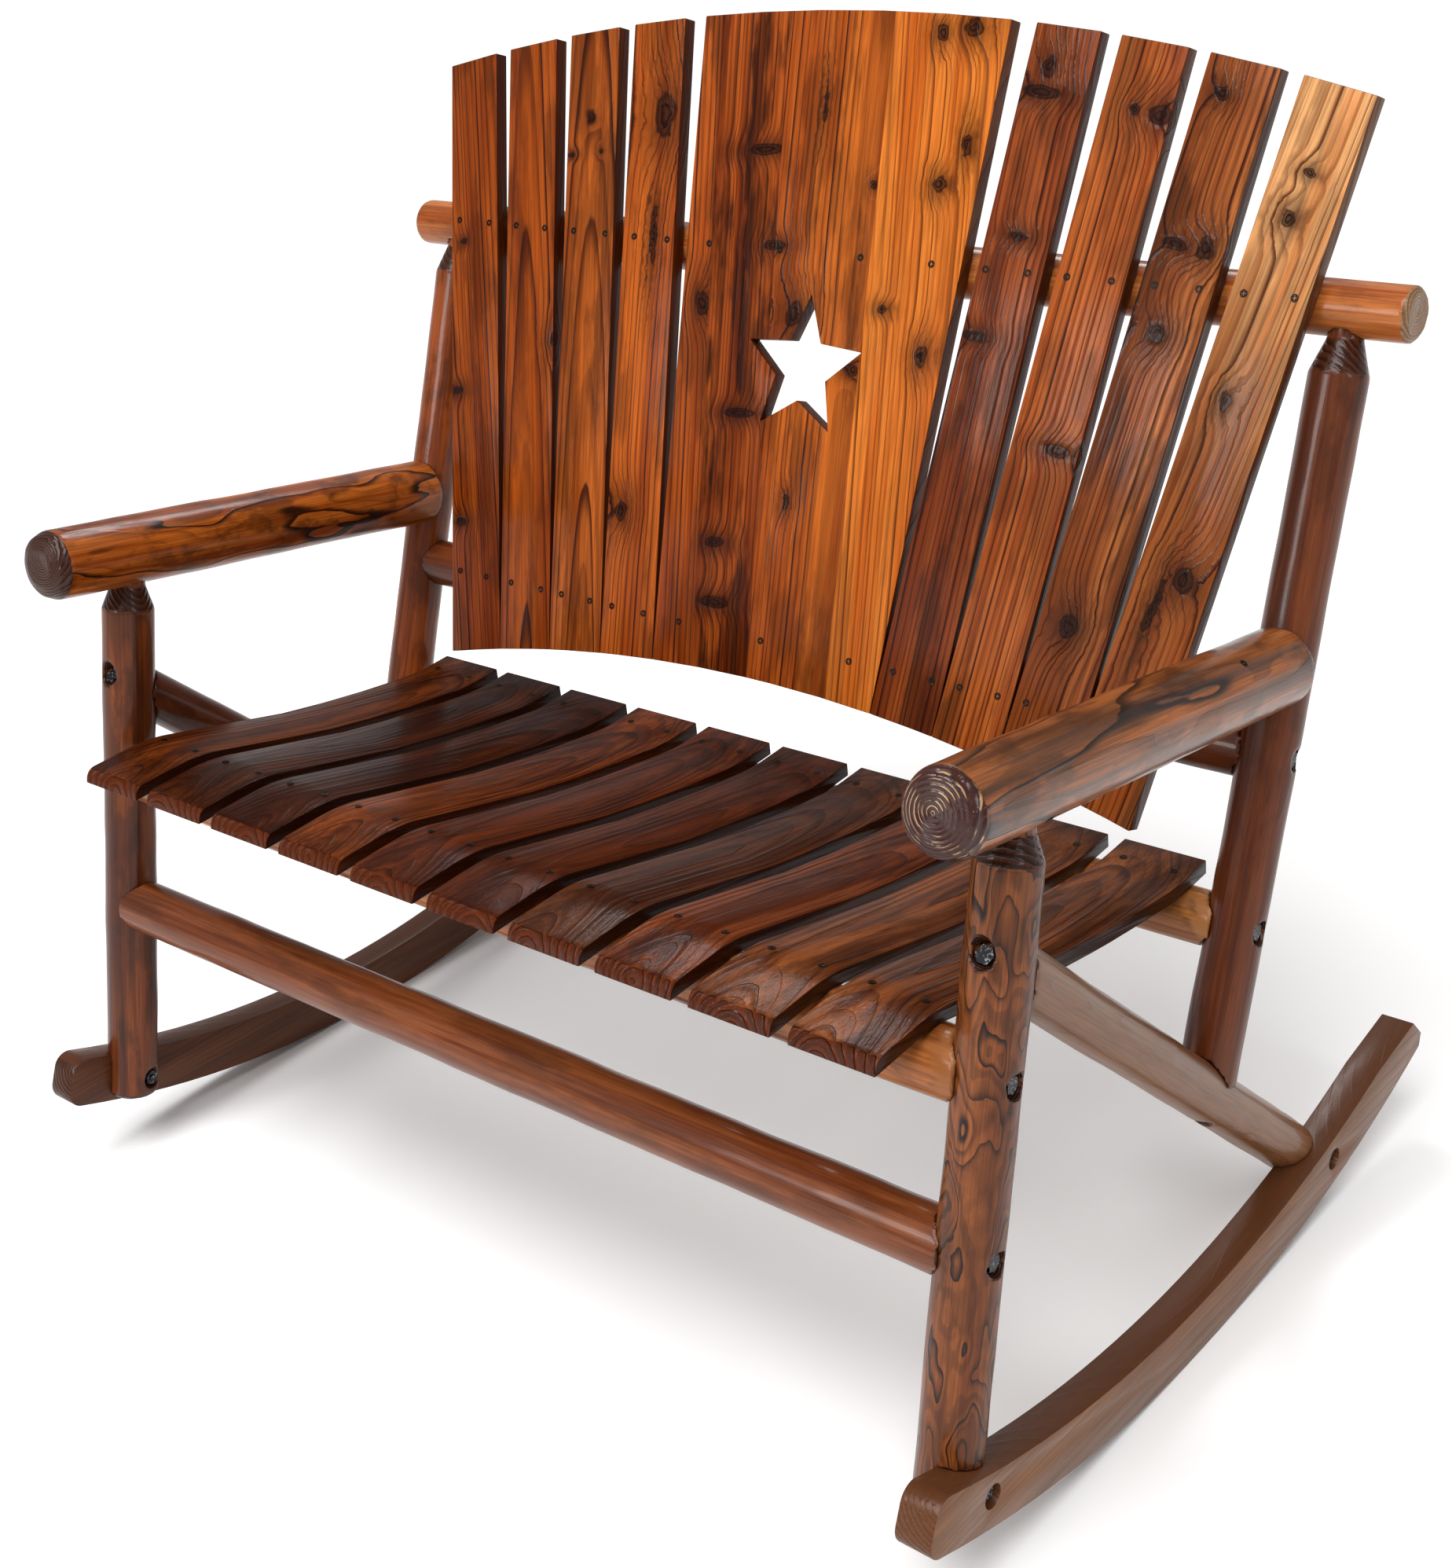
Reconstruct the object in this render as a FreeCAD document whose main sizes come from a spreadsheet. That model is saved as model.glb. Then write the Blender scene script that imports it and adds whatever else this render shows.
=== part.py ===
import FreeCAD, Part
import math
import os
import re

import Sketcher

# A two-seat rocking bench of turned logs, with a fan back and a slatted seat.
#
# The bench is described with its front legs upright.  There, x runs to the right, y runs back
# from the front legs' axes, and heights are taken from the lowest line of the rockers.  Every
# piece is placed by its spot in that frame and by its own lean, and all of them share the rest
# tilt, by which the bench settles back on its rockers.  The origin is the middle of the line
# where the rockers touch the floor.

doc = FreeCAD.newDocument("rocking_bench")
sheet = doc.addObject("Spreadsheet::Sheet", "sizes")

# Lengths are millimetres and angles are degrees.
driving = {
    # the stance of the whole bench
    "rest_tilt": 10.95,
    "side_spread": 1171,
    "crest_overhang": 64.5,
    # rockers, sawn from plank
    "rocker_radius": 1361,
    "rocker_depth": 59,
    "rocker_thickness": 37.5,
    "rocker_setback": 158,
    "rocker_nose_reach": 86,
    "rocker_nose_rounding": 19,
    "rocker_tail_reach": 884,
    "rocker_tail_end_depth": 17,
    "rocker_tail_slant": 27,
    "rocker_tail_taper": 17,
    "rocker_tail_taper_length": 87,
    "lap_offset": 4.5,
    # logs
    "front_leg_dia": 60.5,
    "front_leg_foot_height": 19,
    "rear_post_dia": 57,
    "armrest_dia": 79,
    "side_brace_dia": 57,
    "crest_rail_dia": 54.5,
    "lower_back_rail_dia": 57.5,
    "front_seat_rail_dia": 65,
    "rear_seat_rail_dia": 57,
    "front_stretcher_dia": 60,
    "leg_end_bevel": 5,
    "crest_end_bevel": 5,
    "armrest_front_rounding": 19,
    "armrest_rear_bevel": 7,
    "brace_end_bevel": 7,
    # how far the coped ends stop short of the axis of the log that they meet
    "cope_setback": 14,
    # places of the logs
    "crest_height": 1046.5,
    "lower_back_rail_height": 622,
    "front_seat_rail_height": 430,
    "rear_seat_rail_height": 451.7,
    "front_stretcher_height": 265.5,
    "armrest_height": 688,
    "armrest_rise": 2.93,
    "armrest_overhang": 121,
    "side_brace_height": 531.3,
    "side_brace_slope": 30.5,
    "side_brace_length": 805,
    "rear_post_setback": 425.5,
    "rear_post_lean": 7.62,
    # round tenons on the uprights
    "leg_tenon_dia": 40,
    "leg_tenon_depth": 46,
    "leg_shoulder_drop": 27,
    "post_tenon_dia": 34,
    "post_tenon_depth": 35,
    "post_shoulder_drop": 34,
    "tenon_play": 0.3,
    # seat
    "seat_slat_count": 10,
    "seat_slat_width": 90.5,
    "seat_side_clearance": 19.9,
    "seat_slat_thickness": 15.5,
    "seat_front_reach": 96,
    "seat_front_drop": 21,
    "seat_flat_reach": 13,
    "seat_dip": 4.4,
    "seat_dip_setback": 190,
    "seat_dip_radius": 2500,
    "seat_rear_run": 56,
    "seat_rear_run_rise": 9.5,
    "seat_rear_radius": 300,
    "seat_rear_lift": 15,
    "seat_rear_reach": 34,
    "seat_nose_bevel": 6,
    # back
    "back_lean": 7.03,
    "back_board_thickness": 18.5,
    "board_play": 0.3,
    "back_top_rise": 686.5,
    "back_top_radius": 2500,
    "back_bottom_drop": 42.5,
    "back_bottom_radius": 2000,
    "back_panel_foot_width": 308,
    "back_panel_head_width": 397.5,
    "back_slat_foot_width": 80.5,
    "back_slat_head_width": 74,
    "back_slat_first_gap": 29.5,
    "back_slat_gap": 23,
    "star_rise": 306.5,
    "star_tip_radius": 79,
    "star_notch_radius": 35,
    # bolts
    "bolt_dia": 8,
    "bolt_head_width": 15.5,
    "bolt_head_height": 5.5,
    "bolt_nut_height": 6.5,
    "bolt_hole_play": 0.5,
    "bolt_recess_dia": 24,
    "bolt_recess_depth": 11,
    "slant_recess_depth": 13,
    "bolt_end_reach": 2,
    "lag_grip": 70,
    "leg_bolt_setback": 9,
    "brace_bolt_setback": 680,
    "rocker_bolt_rise": 34,
}

# What follows from the driving sizes.  A name here stands in formulas as the others do.
worked_out = {
    "side_plane": "side_spread / 2",
    "lap_plane": "side_plane + lap_offset",
    "rocker_top_radius": "rocker_radius - rocker_depth",
    "crest_half_length": "side_plane + crest_overhang",
    "rear_post_foot_height": "side_brace_height - tan(side_brace_slope) * rear_post_setback",
    "crest_setback": "rear_post_setback + tan(rear_post_lean) * (crest_height - rear_post_foot_height)",
    "rear_seat_rail_setback":
        "rear_post_setback + tan(rear_post_lean) * (rear_seat_rail_height - rear_post_foot_height)",
    # the back boards touch the fronts of both back rails
    "lower_back_rail_setback":
        "crest_setback + ((lower_back_rail_dia - crest_rail_dia) / 2"
        " - (crest_height - lower_back_rail_height) * sin(back_lean)) / cos(back_lean)",
    "lower_rail_post_setback":
        "rear_post_setback + tan(rear_post_lean) * (lower_back_rail_height - rear_post_foot_height)",
    "lower_rail_offset": "(lower_back_rail_setback - lower_rail_post_setback) * cos(rear_post_lean)",
    "armrest_post_setback":
        "(rear_post_setback + tan(rear_post_lean) * (armrest_height - rear_post_foot_height))"
        " / (1 - tan(rear_post_lean) * tan(armrest_rise))",
    "armrest_post_height": "armrest_height + tan(armrest_rise) * armrest_post_setback",
    "armrest_reach": "armrest_post_setback / cos(armrest_rise)",
    "armrest_underside_height": "armrest_height - armrest_dia / (2 * cos(armrest_rise))",
    "armrest_lean": "90 - armrest_rise",
    "side_brace_lean": "90 + side_brace_slope",
    "post_top_reach": "(crest_height - rear_post_foot_height) / cos(rear_post_lean)",
    "rail_half_length": "side_plane - cope_setback",
    "bolt_hole_dia": "bolt_dia + bolt_hole_play",
    # the bolts in a rocker stand a given rise above its underside
    "leg_bolt_height": "rocker_bolt_rise + rocker_radius - sqrt(rocker_radius * rocker_radius"
                       " - (leg_bolt_setback - rocker_setback) * (leg_bolt_setback - rocker_setback))",
    "brace_bolt_height": "rocker_bolt_rise + rocker_radius - sqrt(rocker_radius * rocker_radius"
                         " - (brace_bolt_setback - rocker_setback) * (brace_bolt_setback - rocker_setback))",
    "seat_front_top_height": "front_seat_rail_height + front_seat_rail_dia / 2",
    "back_rear_face": "0 - lower_back_rail_dia / 2",
    # half the width of a log, measured along another log that crosses it at a slant
    "leg_along_brace": "front_leg_dia / (2 * cos(side_brace_slope))",
    "brace_along_post": "side_brace_dia / (2 * cos(side_brace_slope - rear_post_lean))",
    "brace_recess_reach": "leg_along_brace - slant_recess_depth",
    "foot_recess_reach": "brace_along_post - slant_recess_depth",
    # the slats are spaced evenly between the two side braces
    "seat_slat_pitch": "(2 * (side_plane - side_brace_dia / 2 - seat_side_clearance) - seat_slat_width)"
                       " / (seat_slat_count - 1)",
    # the slats' rise where the two arcs of their profile meet
    "seat_dip_lift": "seat_rear_lift / 3",
    # a cut of this length passes right through any log
    "through_cut": "3 * armrest_dia",
}

# Shanks and their holes are six-sided.  A hole's flats stand as far apart as its drill is wide, so
# that a shank of that width passes.
shank_sides = 6

# Share of a side by which the first corner of a drilled hole is turned from straight right.
drill_turn = 0.25

# A cut that takes less wood than this, in cubic millimetres, has missed.
least_bite = 1

# How far, in millimetres, an edge may lie from the line on which it is sought.
edge_margin = 1


def formula(text):
    """Write the names in a formula out, down to the cells of the sheet."""
    def spell(match):
        word = match.group(0)
        if word in worked_out:
            return "(" + formula(worked_out[word]) + ")"
        return "sizes." + word if word in driving else word
    return re.sub(r"[a-z_]+", spell, text)


def fill_sheet():
    for row, (name, number) in enumerate(driving.items(), start=1):
        sheet.set(f"A{row}", name)
        sheet.set(f"B{row}", str(number))
        sheet.setAlias(f"B{row}", name)
    doc.recompute()


def value(text):
    return float(sheet.evalExpression(formula(text)))


# Placing pieces and sketches

class Spot:
    """Where a piece's own frame stands: a point of the upright bench and the piece's lean."""

    def __init__(self, x="0", y="0", height="0", lean="0"):
        self.x = x
        self.y = y
        self.height = height
        self.lean = lean

    def across(self, y, height):
        return (f"(cos({self.lean}) * (({y}) - ({self.y}))"
                f" - sin({self.lean}) * (({height}) - ({self.height})))")

    def along(self, y, height):
        return (f"(sin({self.lean}) * (({y}) - ({self.y}))"
                f" + cos({self.lean}) * (({height}) - ({self.height})))")


def bind(thing, path, text):
    thing.setExpression(path, formula(text))


def bind_place(thing, spot):
    """Hold a piece's origin at its spot while the bench tips back about the rockers' centre."""
    level = f"(({spot.height}) - rocker_radius)"
    back = f"(({spot.y}) - rocker_setback)"
    bind(thing, "Placement.Base.x", spot.x)
    bind(thing, "Placement.Base.y", f"cos(rest_tilt) * {back} + sin(rest_tilt) * {level}")
    bind(thing, "Placement.Base.z", f"rocker_radius + cos(rest_tilt) * {level} - sin(rest_tilt) * {back}")


def stand(thing, spot):
    """Put a piece at its spot on the bench, tipped back by the rest tilt and its own lean."""
    leaning = FreeCAD.Rotation(FreeCAD.Vector(-1, 0, 0), value("rest_tilt"))
    thing.Placement = FreeCAD.Placement(FreeCAD.Vector(), leaning)
    bind(thing, "Placement.Rotation.Angle", f"rest_tilt + {spot.lean}")
    bind_place(thing, spot)


def new_body(label, spot):
    body = doc.addObject("PartDesign::Body", label)
    body.Label = label
    stand(body, spot)
    return body


def sketch_on(body, name, plane, shift=("0", "0", "0"), axis=(0, 0, 1), turn="0"):
    sketch = body.newObject("Sketcher::SketchObject", name)
    face = next(item for item in body.Origin.OriginFeatures if item.Role == plane)
    sketch.AttachmentSupport = [(face, "")]
    sketch.MapMode = "FlatFace"
    sketch.AttachmentOffset = FreeCAD.Placement(
        FreeCAD.Vector(), FreeCAD.Rotation(FreeCAD.Vector(*axis), 5))
    for letter, text in zip("xyz", shift):
        bind(sketch, f"AttachmentOffset.Base.{letter}", text)
    bind(sketch, "AttachmentOffset.Rotation.Angle", turn)
    return sketch


def side_sketch(body, name, spot, x):
    """A sketch across the bench at x, measured from the piece, in the bench's own y and height."""
    shift = (spot.across("0", "0"), spot.along("0", "0"), x)
    return sketch_on(body, name, "YZ_Plane", shift, (0, 0, 1), spot.lean)


def cross_sketch(body, name, spot, y, height, lean):
    """A sketch square to a line that passes the given point and leans back by lean."""
    shift = ("0", spot.across(y, height), spot.along(y, height))
    return sketch_on(body, name, "XY_Plane", shift, (-1, 0, 0), f"({lean}) - ({spot.lean})")


# Drawing in sketches

def pin(sketch, edge, end, x, y):
    """Hold one point of an edge at the given place."""
    for kind, text, axis_line in (("DistanceX", x, -2), ("DistanceY", y, -1)):
        if text == "0":
            sketch.addConstraint(Sketcher.Constraint("PointOnObject", edge, end, axis_line))
        else:
            index = sketch.addConstraint(Sketcher.Constraint(kind, -1, 1, edge, end, value(text)))
            bind(sketch, f"Constraints[{index}]", text)


def set_radius(sketch, edge, text):
    index = sketch.addConstraint(Sketcher.Constraint("Radius", edge, value(text)))
    bind(sketch, f"Constraints[{index}]", text)


def circle(sketch, x, y, radius):
    centre = FreeCAD.Vector(value(x), value(y), 0)
    edge = sketch.addGeometry(Part.Circle(centre, FreeCAD.Vector(0, 0, 1), value(radius)))
    pin(sketch, edge, 3, x, y)
    set_radius(sketch, edge, radius)


def drill_mark(sketch, x, y, dia):
    """The outline of a drilled hole."""
    step = 360 / shank_sides
    reach = f"{dia} / (2 * cos({step / 2}))"
    corners = []
    for corner in range(shank_sides):
        angle = (corner + drill_turn) * step
        corners.append((f"{x} + {reach} * cos({angle})", f"{y} + {reach} * sin({angle})"))
    outline(sketch, corners)


def arc_between(start, end, radius, side):
    """The short arc from start to end, with its centre to the left (side 1) or right (side -1)."""
    half = (end - start) * 0.5
    rise = math.sqrt(max(radius * radius - half.Length ** 2, 0))
    normal = FreeCAD.Vector(-half.y, half.x, 0).normalize()
    centre = start + half + normal * (rise * side)
    first, last = (start, end) if side > 0 else (end, start)
    angles = [math.atan2(point.y - centre.y, point.x - centre.x) for point in (first, last)]
    if angles[1] < angles[0]:
        angles[1] += 2 * math.pi
    ring = Part.Circle(centre, FreeCAD.Vector(0, 0, 1), radius)
    return Part.ArcOfCircle(ring, *angles)


def outline(sketch, corners, arcs=None):
    """A closed outline through the corners; arcs gives an edge's radius and its centre's side."""
    arcs = arcs or {}
    points = [FreeCAD.Vector(value(x), value(y), 0) for x, y in corners]
    count = len(corners)
    ends = []
    for index, start in enumerate(points):
        end = points[(index + 1) % count]
        if index in arcs:
            radius, side = arcs[index]
            edge = sketch.addGeometry(arc_between(start, end, value(radius), side))
            ends.append((edge, 1 if side > 0 else 2, 2 if side > 0 else 1))
        else:
            edge = sketch.addGeometry(Part.LineSegment(start, end))
            ends.append((edge, 1, 2))
    for index, (edge, first, last) in enumerate(ends):
        following, following_first, _ = ends[(index + 1) % count]
        sketch.addConstraint(Sketcher.Constraint("Coincident", edge, last, following, following_first))
        pin(sketch, edge, first, *corners[index])
    for index, (radius, _) in arcs.items():
        set_radius(sketch, ends[index][0], radius)


# Features

def recomputed(body):
    doc.recompute()
    return body.Shape.Volume


def revolve(body, sketch, axis):
    feature = body.newObject("PartDesign::Revolution", sketch.Name + "_turned")
    feature.Profile = sketch
    feature.ReferenceAxis = (sketch, [axis])
    feature.Angle = 360
    return feature


def pad(body, sketch, length, reverse=False, middle=False):
    feature = body.newObject("PartDesign::Pad", sketch.Name + "_pad")
    feature.Profile = sketch
    bind(feature, "Length", length)
    feature.Reversed = reverse
    if middle:
        feature.SideType = "Symmetric"
    return feature


def cut(body, sketch, length, reverse=False, middle=False):
    """Take the sketch's prism out of the body, and see that it really took wood away."""
    before = recomputed(body)
    feature = body.newObject("PartDesign::Pocket", sketch.Name + "_cut")
    feature.Profile = sketch
    bind(feature, "Length", length)
    feature.Reversed = reverse
    if middle:
        feature.SideType = "Symmetric"
    after = recomputed(body)
    if not after < before - least_bite:
        raise RuntimeError(f"{sketch.Name} takes nothing out of {body.Label}")
    return feature


def work_edges(body, kind, measure, size, chosen):
    """Round or bevel every edge of the body that the test picks."""
    doc.recompute()
    base = body.Tip
    names = [f"Edge{number}" for number, edge in enumerate(base.Shape.Edges, start=1) if chosen(edge)]
    feature = body.newObject("PartDesign::" + kind, f"{body.Name}_{kind.lower()}")
    feature.Base = (base, names)
    bind(feature, measure, size)
    return feature


def round_edges(body, radius, chosen):
    return work_edges(body, "Fillet", "Radius", radius, chosen)


def bevel_edges(body, size, chosen):
    return work_edges(body, "Chamfer", "Size", size, chosen)


# Logs

def upright_log(label, spot, radius, start, end, start_bevel="0", end_bevel="0", start_bevels=1,
                tenon=None):
    """A turned log along its own z; tenon = (length of its cone, tenon radius, tenon length) on top.

    Its start has one bevel, or as many as it takes to look rounded.
    """
    body = new_body(label, spot)
    sketch = sketch_on(body, label + "_profile", "XZ_Plane")
    corners = [("0", start)]
    if start_bevel != "0":
        for step in range(start_bevels):
            angle = 90 * step / start_bevels
            corners.append((f"{radius} - {start_bevel} * (1 - sin({angle}))",
                            f"{start} + {start_bevel} * (1 - cos({angle}))"))
    corners.append((radius, f"{start} + {start_bevel}"))
    if tenon:
        cone_length, tenon_radius, tenon_length = tenon
        top = f"{end} + {tenon_length}"
        corners += [(radius, f"{end} - {cone_length}"), (tenon_radius, end), (tenon_radius, top)]
    else:
        top = end
        corners.append((radius, f"{end} - {end_bevel}"))
        if end_bevel != "0":
            corners.append((f"{radius} - {end_bevel}", end))
    corners.append(("0", top))
    outline(sketch, corners)
    revolve(body, sketch, "V_Axis")
    return body


def cross_log(label, spot, radius, half_length, bevel="0"):
    """A turned log along x."""
    body = new_body(label, spot)
    sketch = sketch_on(body, label + "_profile", "XZ_Plane")
    corners = [(f"0 - {half_length}", "0"), (half_length, "0")]
    if bevel != "0":
        corners.append((half_length, f"{radius} - {bevel}"))
    corners += [(f"{half_length} - {bevel}", radius), (f"{bevel} - {half_length}", radius)]
    if bevel != "0":
        corners.append((f"0 - {half_length}", f"{radius} - {bevel}"))
    outline(sketch, corners)
    revolve(body, sketch, "H_Axis")
    return body


def on_arc(radius, y):
    """Height of a rocker's arc of that radius at y."""
    return f"rocker_radius - sqrt({radius} * {radius} - (({y}) - rocker_setback) * (({y}) - rocker_setback))"


def lap_over_rocker(body, label, spot, side, y_from, y_to):
    """Cut the outer half of a log's foot off along the rocker's top, so that it stands on it."""
    sketch = side_sketch(body, label + "_lap", spot, f"{side} * lap_offset")
    floor = "0 - rocker_depth"
    corners = [(y_from, floor), (y_to, floor),
               (y_to, on_arc("rocker_top_radius", y_to)), (y_from, on_arc("rocker_top_radius", y_from))]
    outline(sketch, corners, {2: ("rocker_top_radius", -1)})
    cut(body, sketch, "through_cut", reverse=side > 0)


def bolt_hole(body, name, spot, y, height, side, radius):
    """A hole across the piece along x, and a recess for the bolt's head sunk from its outer side."""
    hole = side_sketch(body, name + "_hole", spot, "0")
    drill_mark(hole, y, height, "bolt_hole_dia")
    cut(body, hole, "through_cut", middle=True)
    recess = side_sketch(body, name + "_recess", spot, f"{side} * ({radius} - bolt_recess_depth)")
    circle(recess, y, height, "bolt_recess_dia / 2")
    cut(body, recess, "through_cut", reverse=side > 0)


def cope_ends(body, label, offset, radius):
    """Hollow both ends of a cross log to the round of the uprights that they meet."""
    sketch = sketch_on(body, label + "_cope", "XY_Plane")
    for side in ("0 - side_plane", "side_plane"):
        circle(sketch, side, offset, radius)
    cut(body, sketch, "through_cut", middle=True)


def pilot_holes(body, label, inner_face):
    """Blind holes in both ends of a cross log for its lag bolts."""
    for side, word in ((1, "right"), (-1, "left")):
        sketch = sketch_on(body, f"{label}_pilot_{word}", "YZ_Plane", ("0", "0", f"{side} * ({inner_face})"))
        drill_mark(sketch, "0", "0", "bolt_dia")
        cut(body, sketch, "lag_grip", reverse=side < 0)


# Pieces of the two side frames

def make_rocker(label, side):
    """Sawn from plank on two arcs of one centre, with a round nose and a tapered tail."""
    spot = Spot(f"{side} * lap_plane")
    body = new_body(label, spot)
    sketch = side_sketch(body, label + "_outline", spot, "0")
    nose_share = "(rocker_setback + rocker_nose_reach) / (rocker_radius - rocker_depth / 2)"
    nose_foot = f"rocker_setback - rocker_radius * {nose_share}"
    nose_top = f"rocker_setback - rocker_top_radius * {nose_share}"
    tail_top = "rocker_tail_reach - rocker_tail_slant"
    taper_start = f"{tail_top} - rocker_tail_taper_length"
    corners = [
        (nose_foot, on_arc("rocker_radius", nose_foot)),
        ("rocker_tail_reach", on_arc("rocker_radius", "rocker_tail_reach")),
        ("rocker_tail_reach", on_arc("rocker_radius", "rocker_tail_reach") + " + rocker_tail_end_depth"),
        (tail_top, on_arc("rocker_top_radius", tail_top) + " - rocker_tail_taper"),
        (taper_start, on_arc("rocker_top_radius", taper_start)),
        (nose_top, on_arc("rocker_top_radius", nose_top)),
    ]
    outline(sketch, corners, {0: ("rocker_radius", 1), 4: ("rocker_top_radius", -1)})
    pad(body, sketch, "rocker_thickness", reverse=side < 0)
    nose = value("rocker_nose_rounding - rocker_nose_reach")

    def at_nose(edge):
        box = edge.BoundBox
        return box.XLength > value("rocker_thickness / 2") and box.YMax < nose
    round_edges(body, "rocker_nose_rounding", at_nose)
    for word, y, height in (("leg", "leg_bolt_setback", "leg_bolt_height"),
                            ("brace", "brace_bolt_setback", "brace_bolt_height")):
        hole = side_sketch(body, f"{label}_{word}_hole", spot, "0")
        drill_mark(hole, y, height, "bolt_hole_dia")
        cut(body, hole, "through_cut", middle=True)
        recess = side_sketch(body, f"{label}_{word}_recess", spot,
                             f"{side} * (rocker_thickness - bolt_recess_depth)")
        circle(recess, y, height, "bolt_recess_dia / 2")
        cut(body, recess, "through_cut", reverse=side > 0)
    return body


def make_front_leg(label, side):
    spot = Spot(f"{side} * side_plane")
    radius = "front_leg_dia / 2"
    body = upright_log(label, spot, radius, "front_leg_foot_height", "armrest_underside_height",
                       start_bevel="leg_end_bevel",
                       tenon=("leg_shoulder_drop", "leg_tenon_dia / 2", "leg_tenon_depth"))
    lap_over_rocker(body, label, spot, side, "0 - front_leg_dia", "front_leg_dia")
    bolt_hole(body, label + "_rocker_bolt", spot, "leg_bolt_setback", "leg_bolt_height",
              -side, radius)
    for word, height in (("stretcher", "front_stretcher_height"), ("seat_rail", "front_seat_rail_height")):
        bolt_hole(body, f"{label}_{word}_bolt", spot, "0", height, side, radius)
    hole = cross_sketch(body, label + "_brace_hole", spot, "0", "side_brace_height", "side_brace_lean")
    drill_mark(hole, "0", "0", "bolt_hole_dia")
    cut(body, hole, "through_cut", middle=True)
    recess = cross_sketch(body, label + "_brace_recess", spot,
                          "0 - brace_recess_reach * cos(side_brace_slope)",
                          "side_brace_height + brace_recess_reach * sin(side_brace_slope)", "side_brace_lean")
    circle(recess, "0", "0", "bolt_recess_dia / 2")
    cut(body, recess, "through_cut")
    return body


def make_rear_post(label, side):
    spot = Spot(f"{side} * side_plane", "rear_post_setback", "rear_post_foot_height", "rear_post_lean")
    radius = "rear_post_dia / 2"
    body = upright_log(label, spot, radius, "cope_setback", "post_top_reach - crest_rail_dia / 2",
                       tenon=("post_shoulder_drop", "post_tenon_dia / 2", "post_tenon_depth"))
    foot = cross_sketch(body, label + "_foot_cope", spot, spot.y, spot.height, "side_brace_lean")
    circle(foot, "0", "0", "side_brace_dia / 2")
    cut(body, foot, "through_cut", middle=True)
    for word, y, height in (("seat_rail", "rear_seat_rail_setback", "rear_seat_rail_height"),
                            ("back_rail", "lower_back_rail_setback", "lower_back_rail_height")):
        bolt_hole(body, f"{label}_{word}_bolt", spot, y, height, side, radius)
    pilot = sketch_on(body, label + "_foot_pilot", "XY_Plane", ("0", "0", "brace_along_post"))
    drill_mark(pilot, "0", "0", "bolt_dia")
    cut(body, pilot, "lag_grip", reverse=True)
    return body


def make_armrest(label, side):
    spot = Spot(f"{side} * side_plane", "0", "armrest_height", "armrest_lean")
    body = upright_log(label, spot, "armrest_dia / 2", "0 - armrest_overhang", "armrest_reach - cope_setback",
                       "armrest_front_rounding", "armrest_rear_bevel", start_bevels=2)
    cope = cross_sketch(body, label + "_cope", spot, "armrest_post_setback", "armrest_post_height",
                        "rear_post_lean")
    circle(cope, "0", "0", "rear_post_dia / 2")
    cut(body, cope, "through_cut", middle=True)
    socket = cross_sketch(body, label + "_leg_socket", spot, "0",
                          "armrest_underside_height + leg_tenon_depth", "0")
    circle(socket, "0", "0", "leg_tenon_dia / 2 + tenon_play / 2")
    cut(body, socket, "through_cut")
    return body


def make_side_brace(label, side):
    spot = Spot(f"{side} * side_plane", "0", "side_brace_height", "side_brace_lean")
    radius = "side_brace_dia / 2"
    body = upright_log(label, spot, radius, "cope_setback", "side_brace_length",
                       end_bevel="brace_end_bevel")
    cope = cross_sketch(body, label + "_cope", spot, "0", "side_brace_height", "0")
    circle(cope, "0", "0", "front_leg_dia / 2")
    cut(body, cope, "through_cut", middle=True)
    lap_over_rocker(body, label, spot, side, "brace_bolt_setback - 2 * side_brace_dia",
                    "brace_bolt_setback + side_brace_dia")
    bolt_hole(body, label + "_rocker_bolt", spot, "brace_bolt_setback", "brace_bolt_height",
              -side, radius)
    pilot = sketch_on(body, label + "_pilot", "XY_Plane", ("0", "0", "leg_along_brace"))
    drill_mark(pilot, "0", "0", "bolt_dia")
    cut(body, pilot, "lag_grip", reverse=True)
    hole = cross_sketch(body, label + "_post_hole", spot, "rear_post_setback", "rear_post_foot_height",
                        "rear_post_lean")
    drill_mark(hole, "0", "0", "bolt_hole_dia")
    cut(body, hole, "through_cut", middle=True)
    recess = cross_sketch(body, label + "_post_recess", spot,
                          "rear_post_setback - foot_recess_reach * sin(rear_post_lean)",
                          "rear_post_foot_height - foot_recess_reach * cos(rear_post_lean)", "rear_post_lean")
    circle(recess, "0", "0", "bolt_recess_dia / 2")
    cut(body, recess, "through_cut")
    return body


# Pieces across the bench

def make_crest_rail():
    spot = Spot("0", "crest_setback", "crest_height", "rear_post_lean")
    body = cross_log("crest_rail", spot, "crest_rail_dia / 2", "crest_half_length", "crest_end_bevel")
    sketch = sketch_on(body, "crest_sockets", "XY_Plane", ("0", "0", "post_tenon_depth - crest_rail_dia / 2"))
    for place in ("0 - side_plane", "side_plane"):
        circle(sketch, place, "0", "post_tenon_dia / 2 + tenon_play / 2")
    cut(body, sketch, "through_cut")


def make_rail(label, spot, radius, upright_radius, offset="0"):
    body = cross_log(label, spot, radius, "rail_half_length")
    cope_ends(body, label, offset, upright_radius)
    pilot_holes(body, label, f"side_plane - {upright_radius}")


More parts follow.
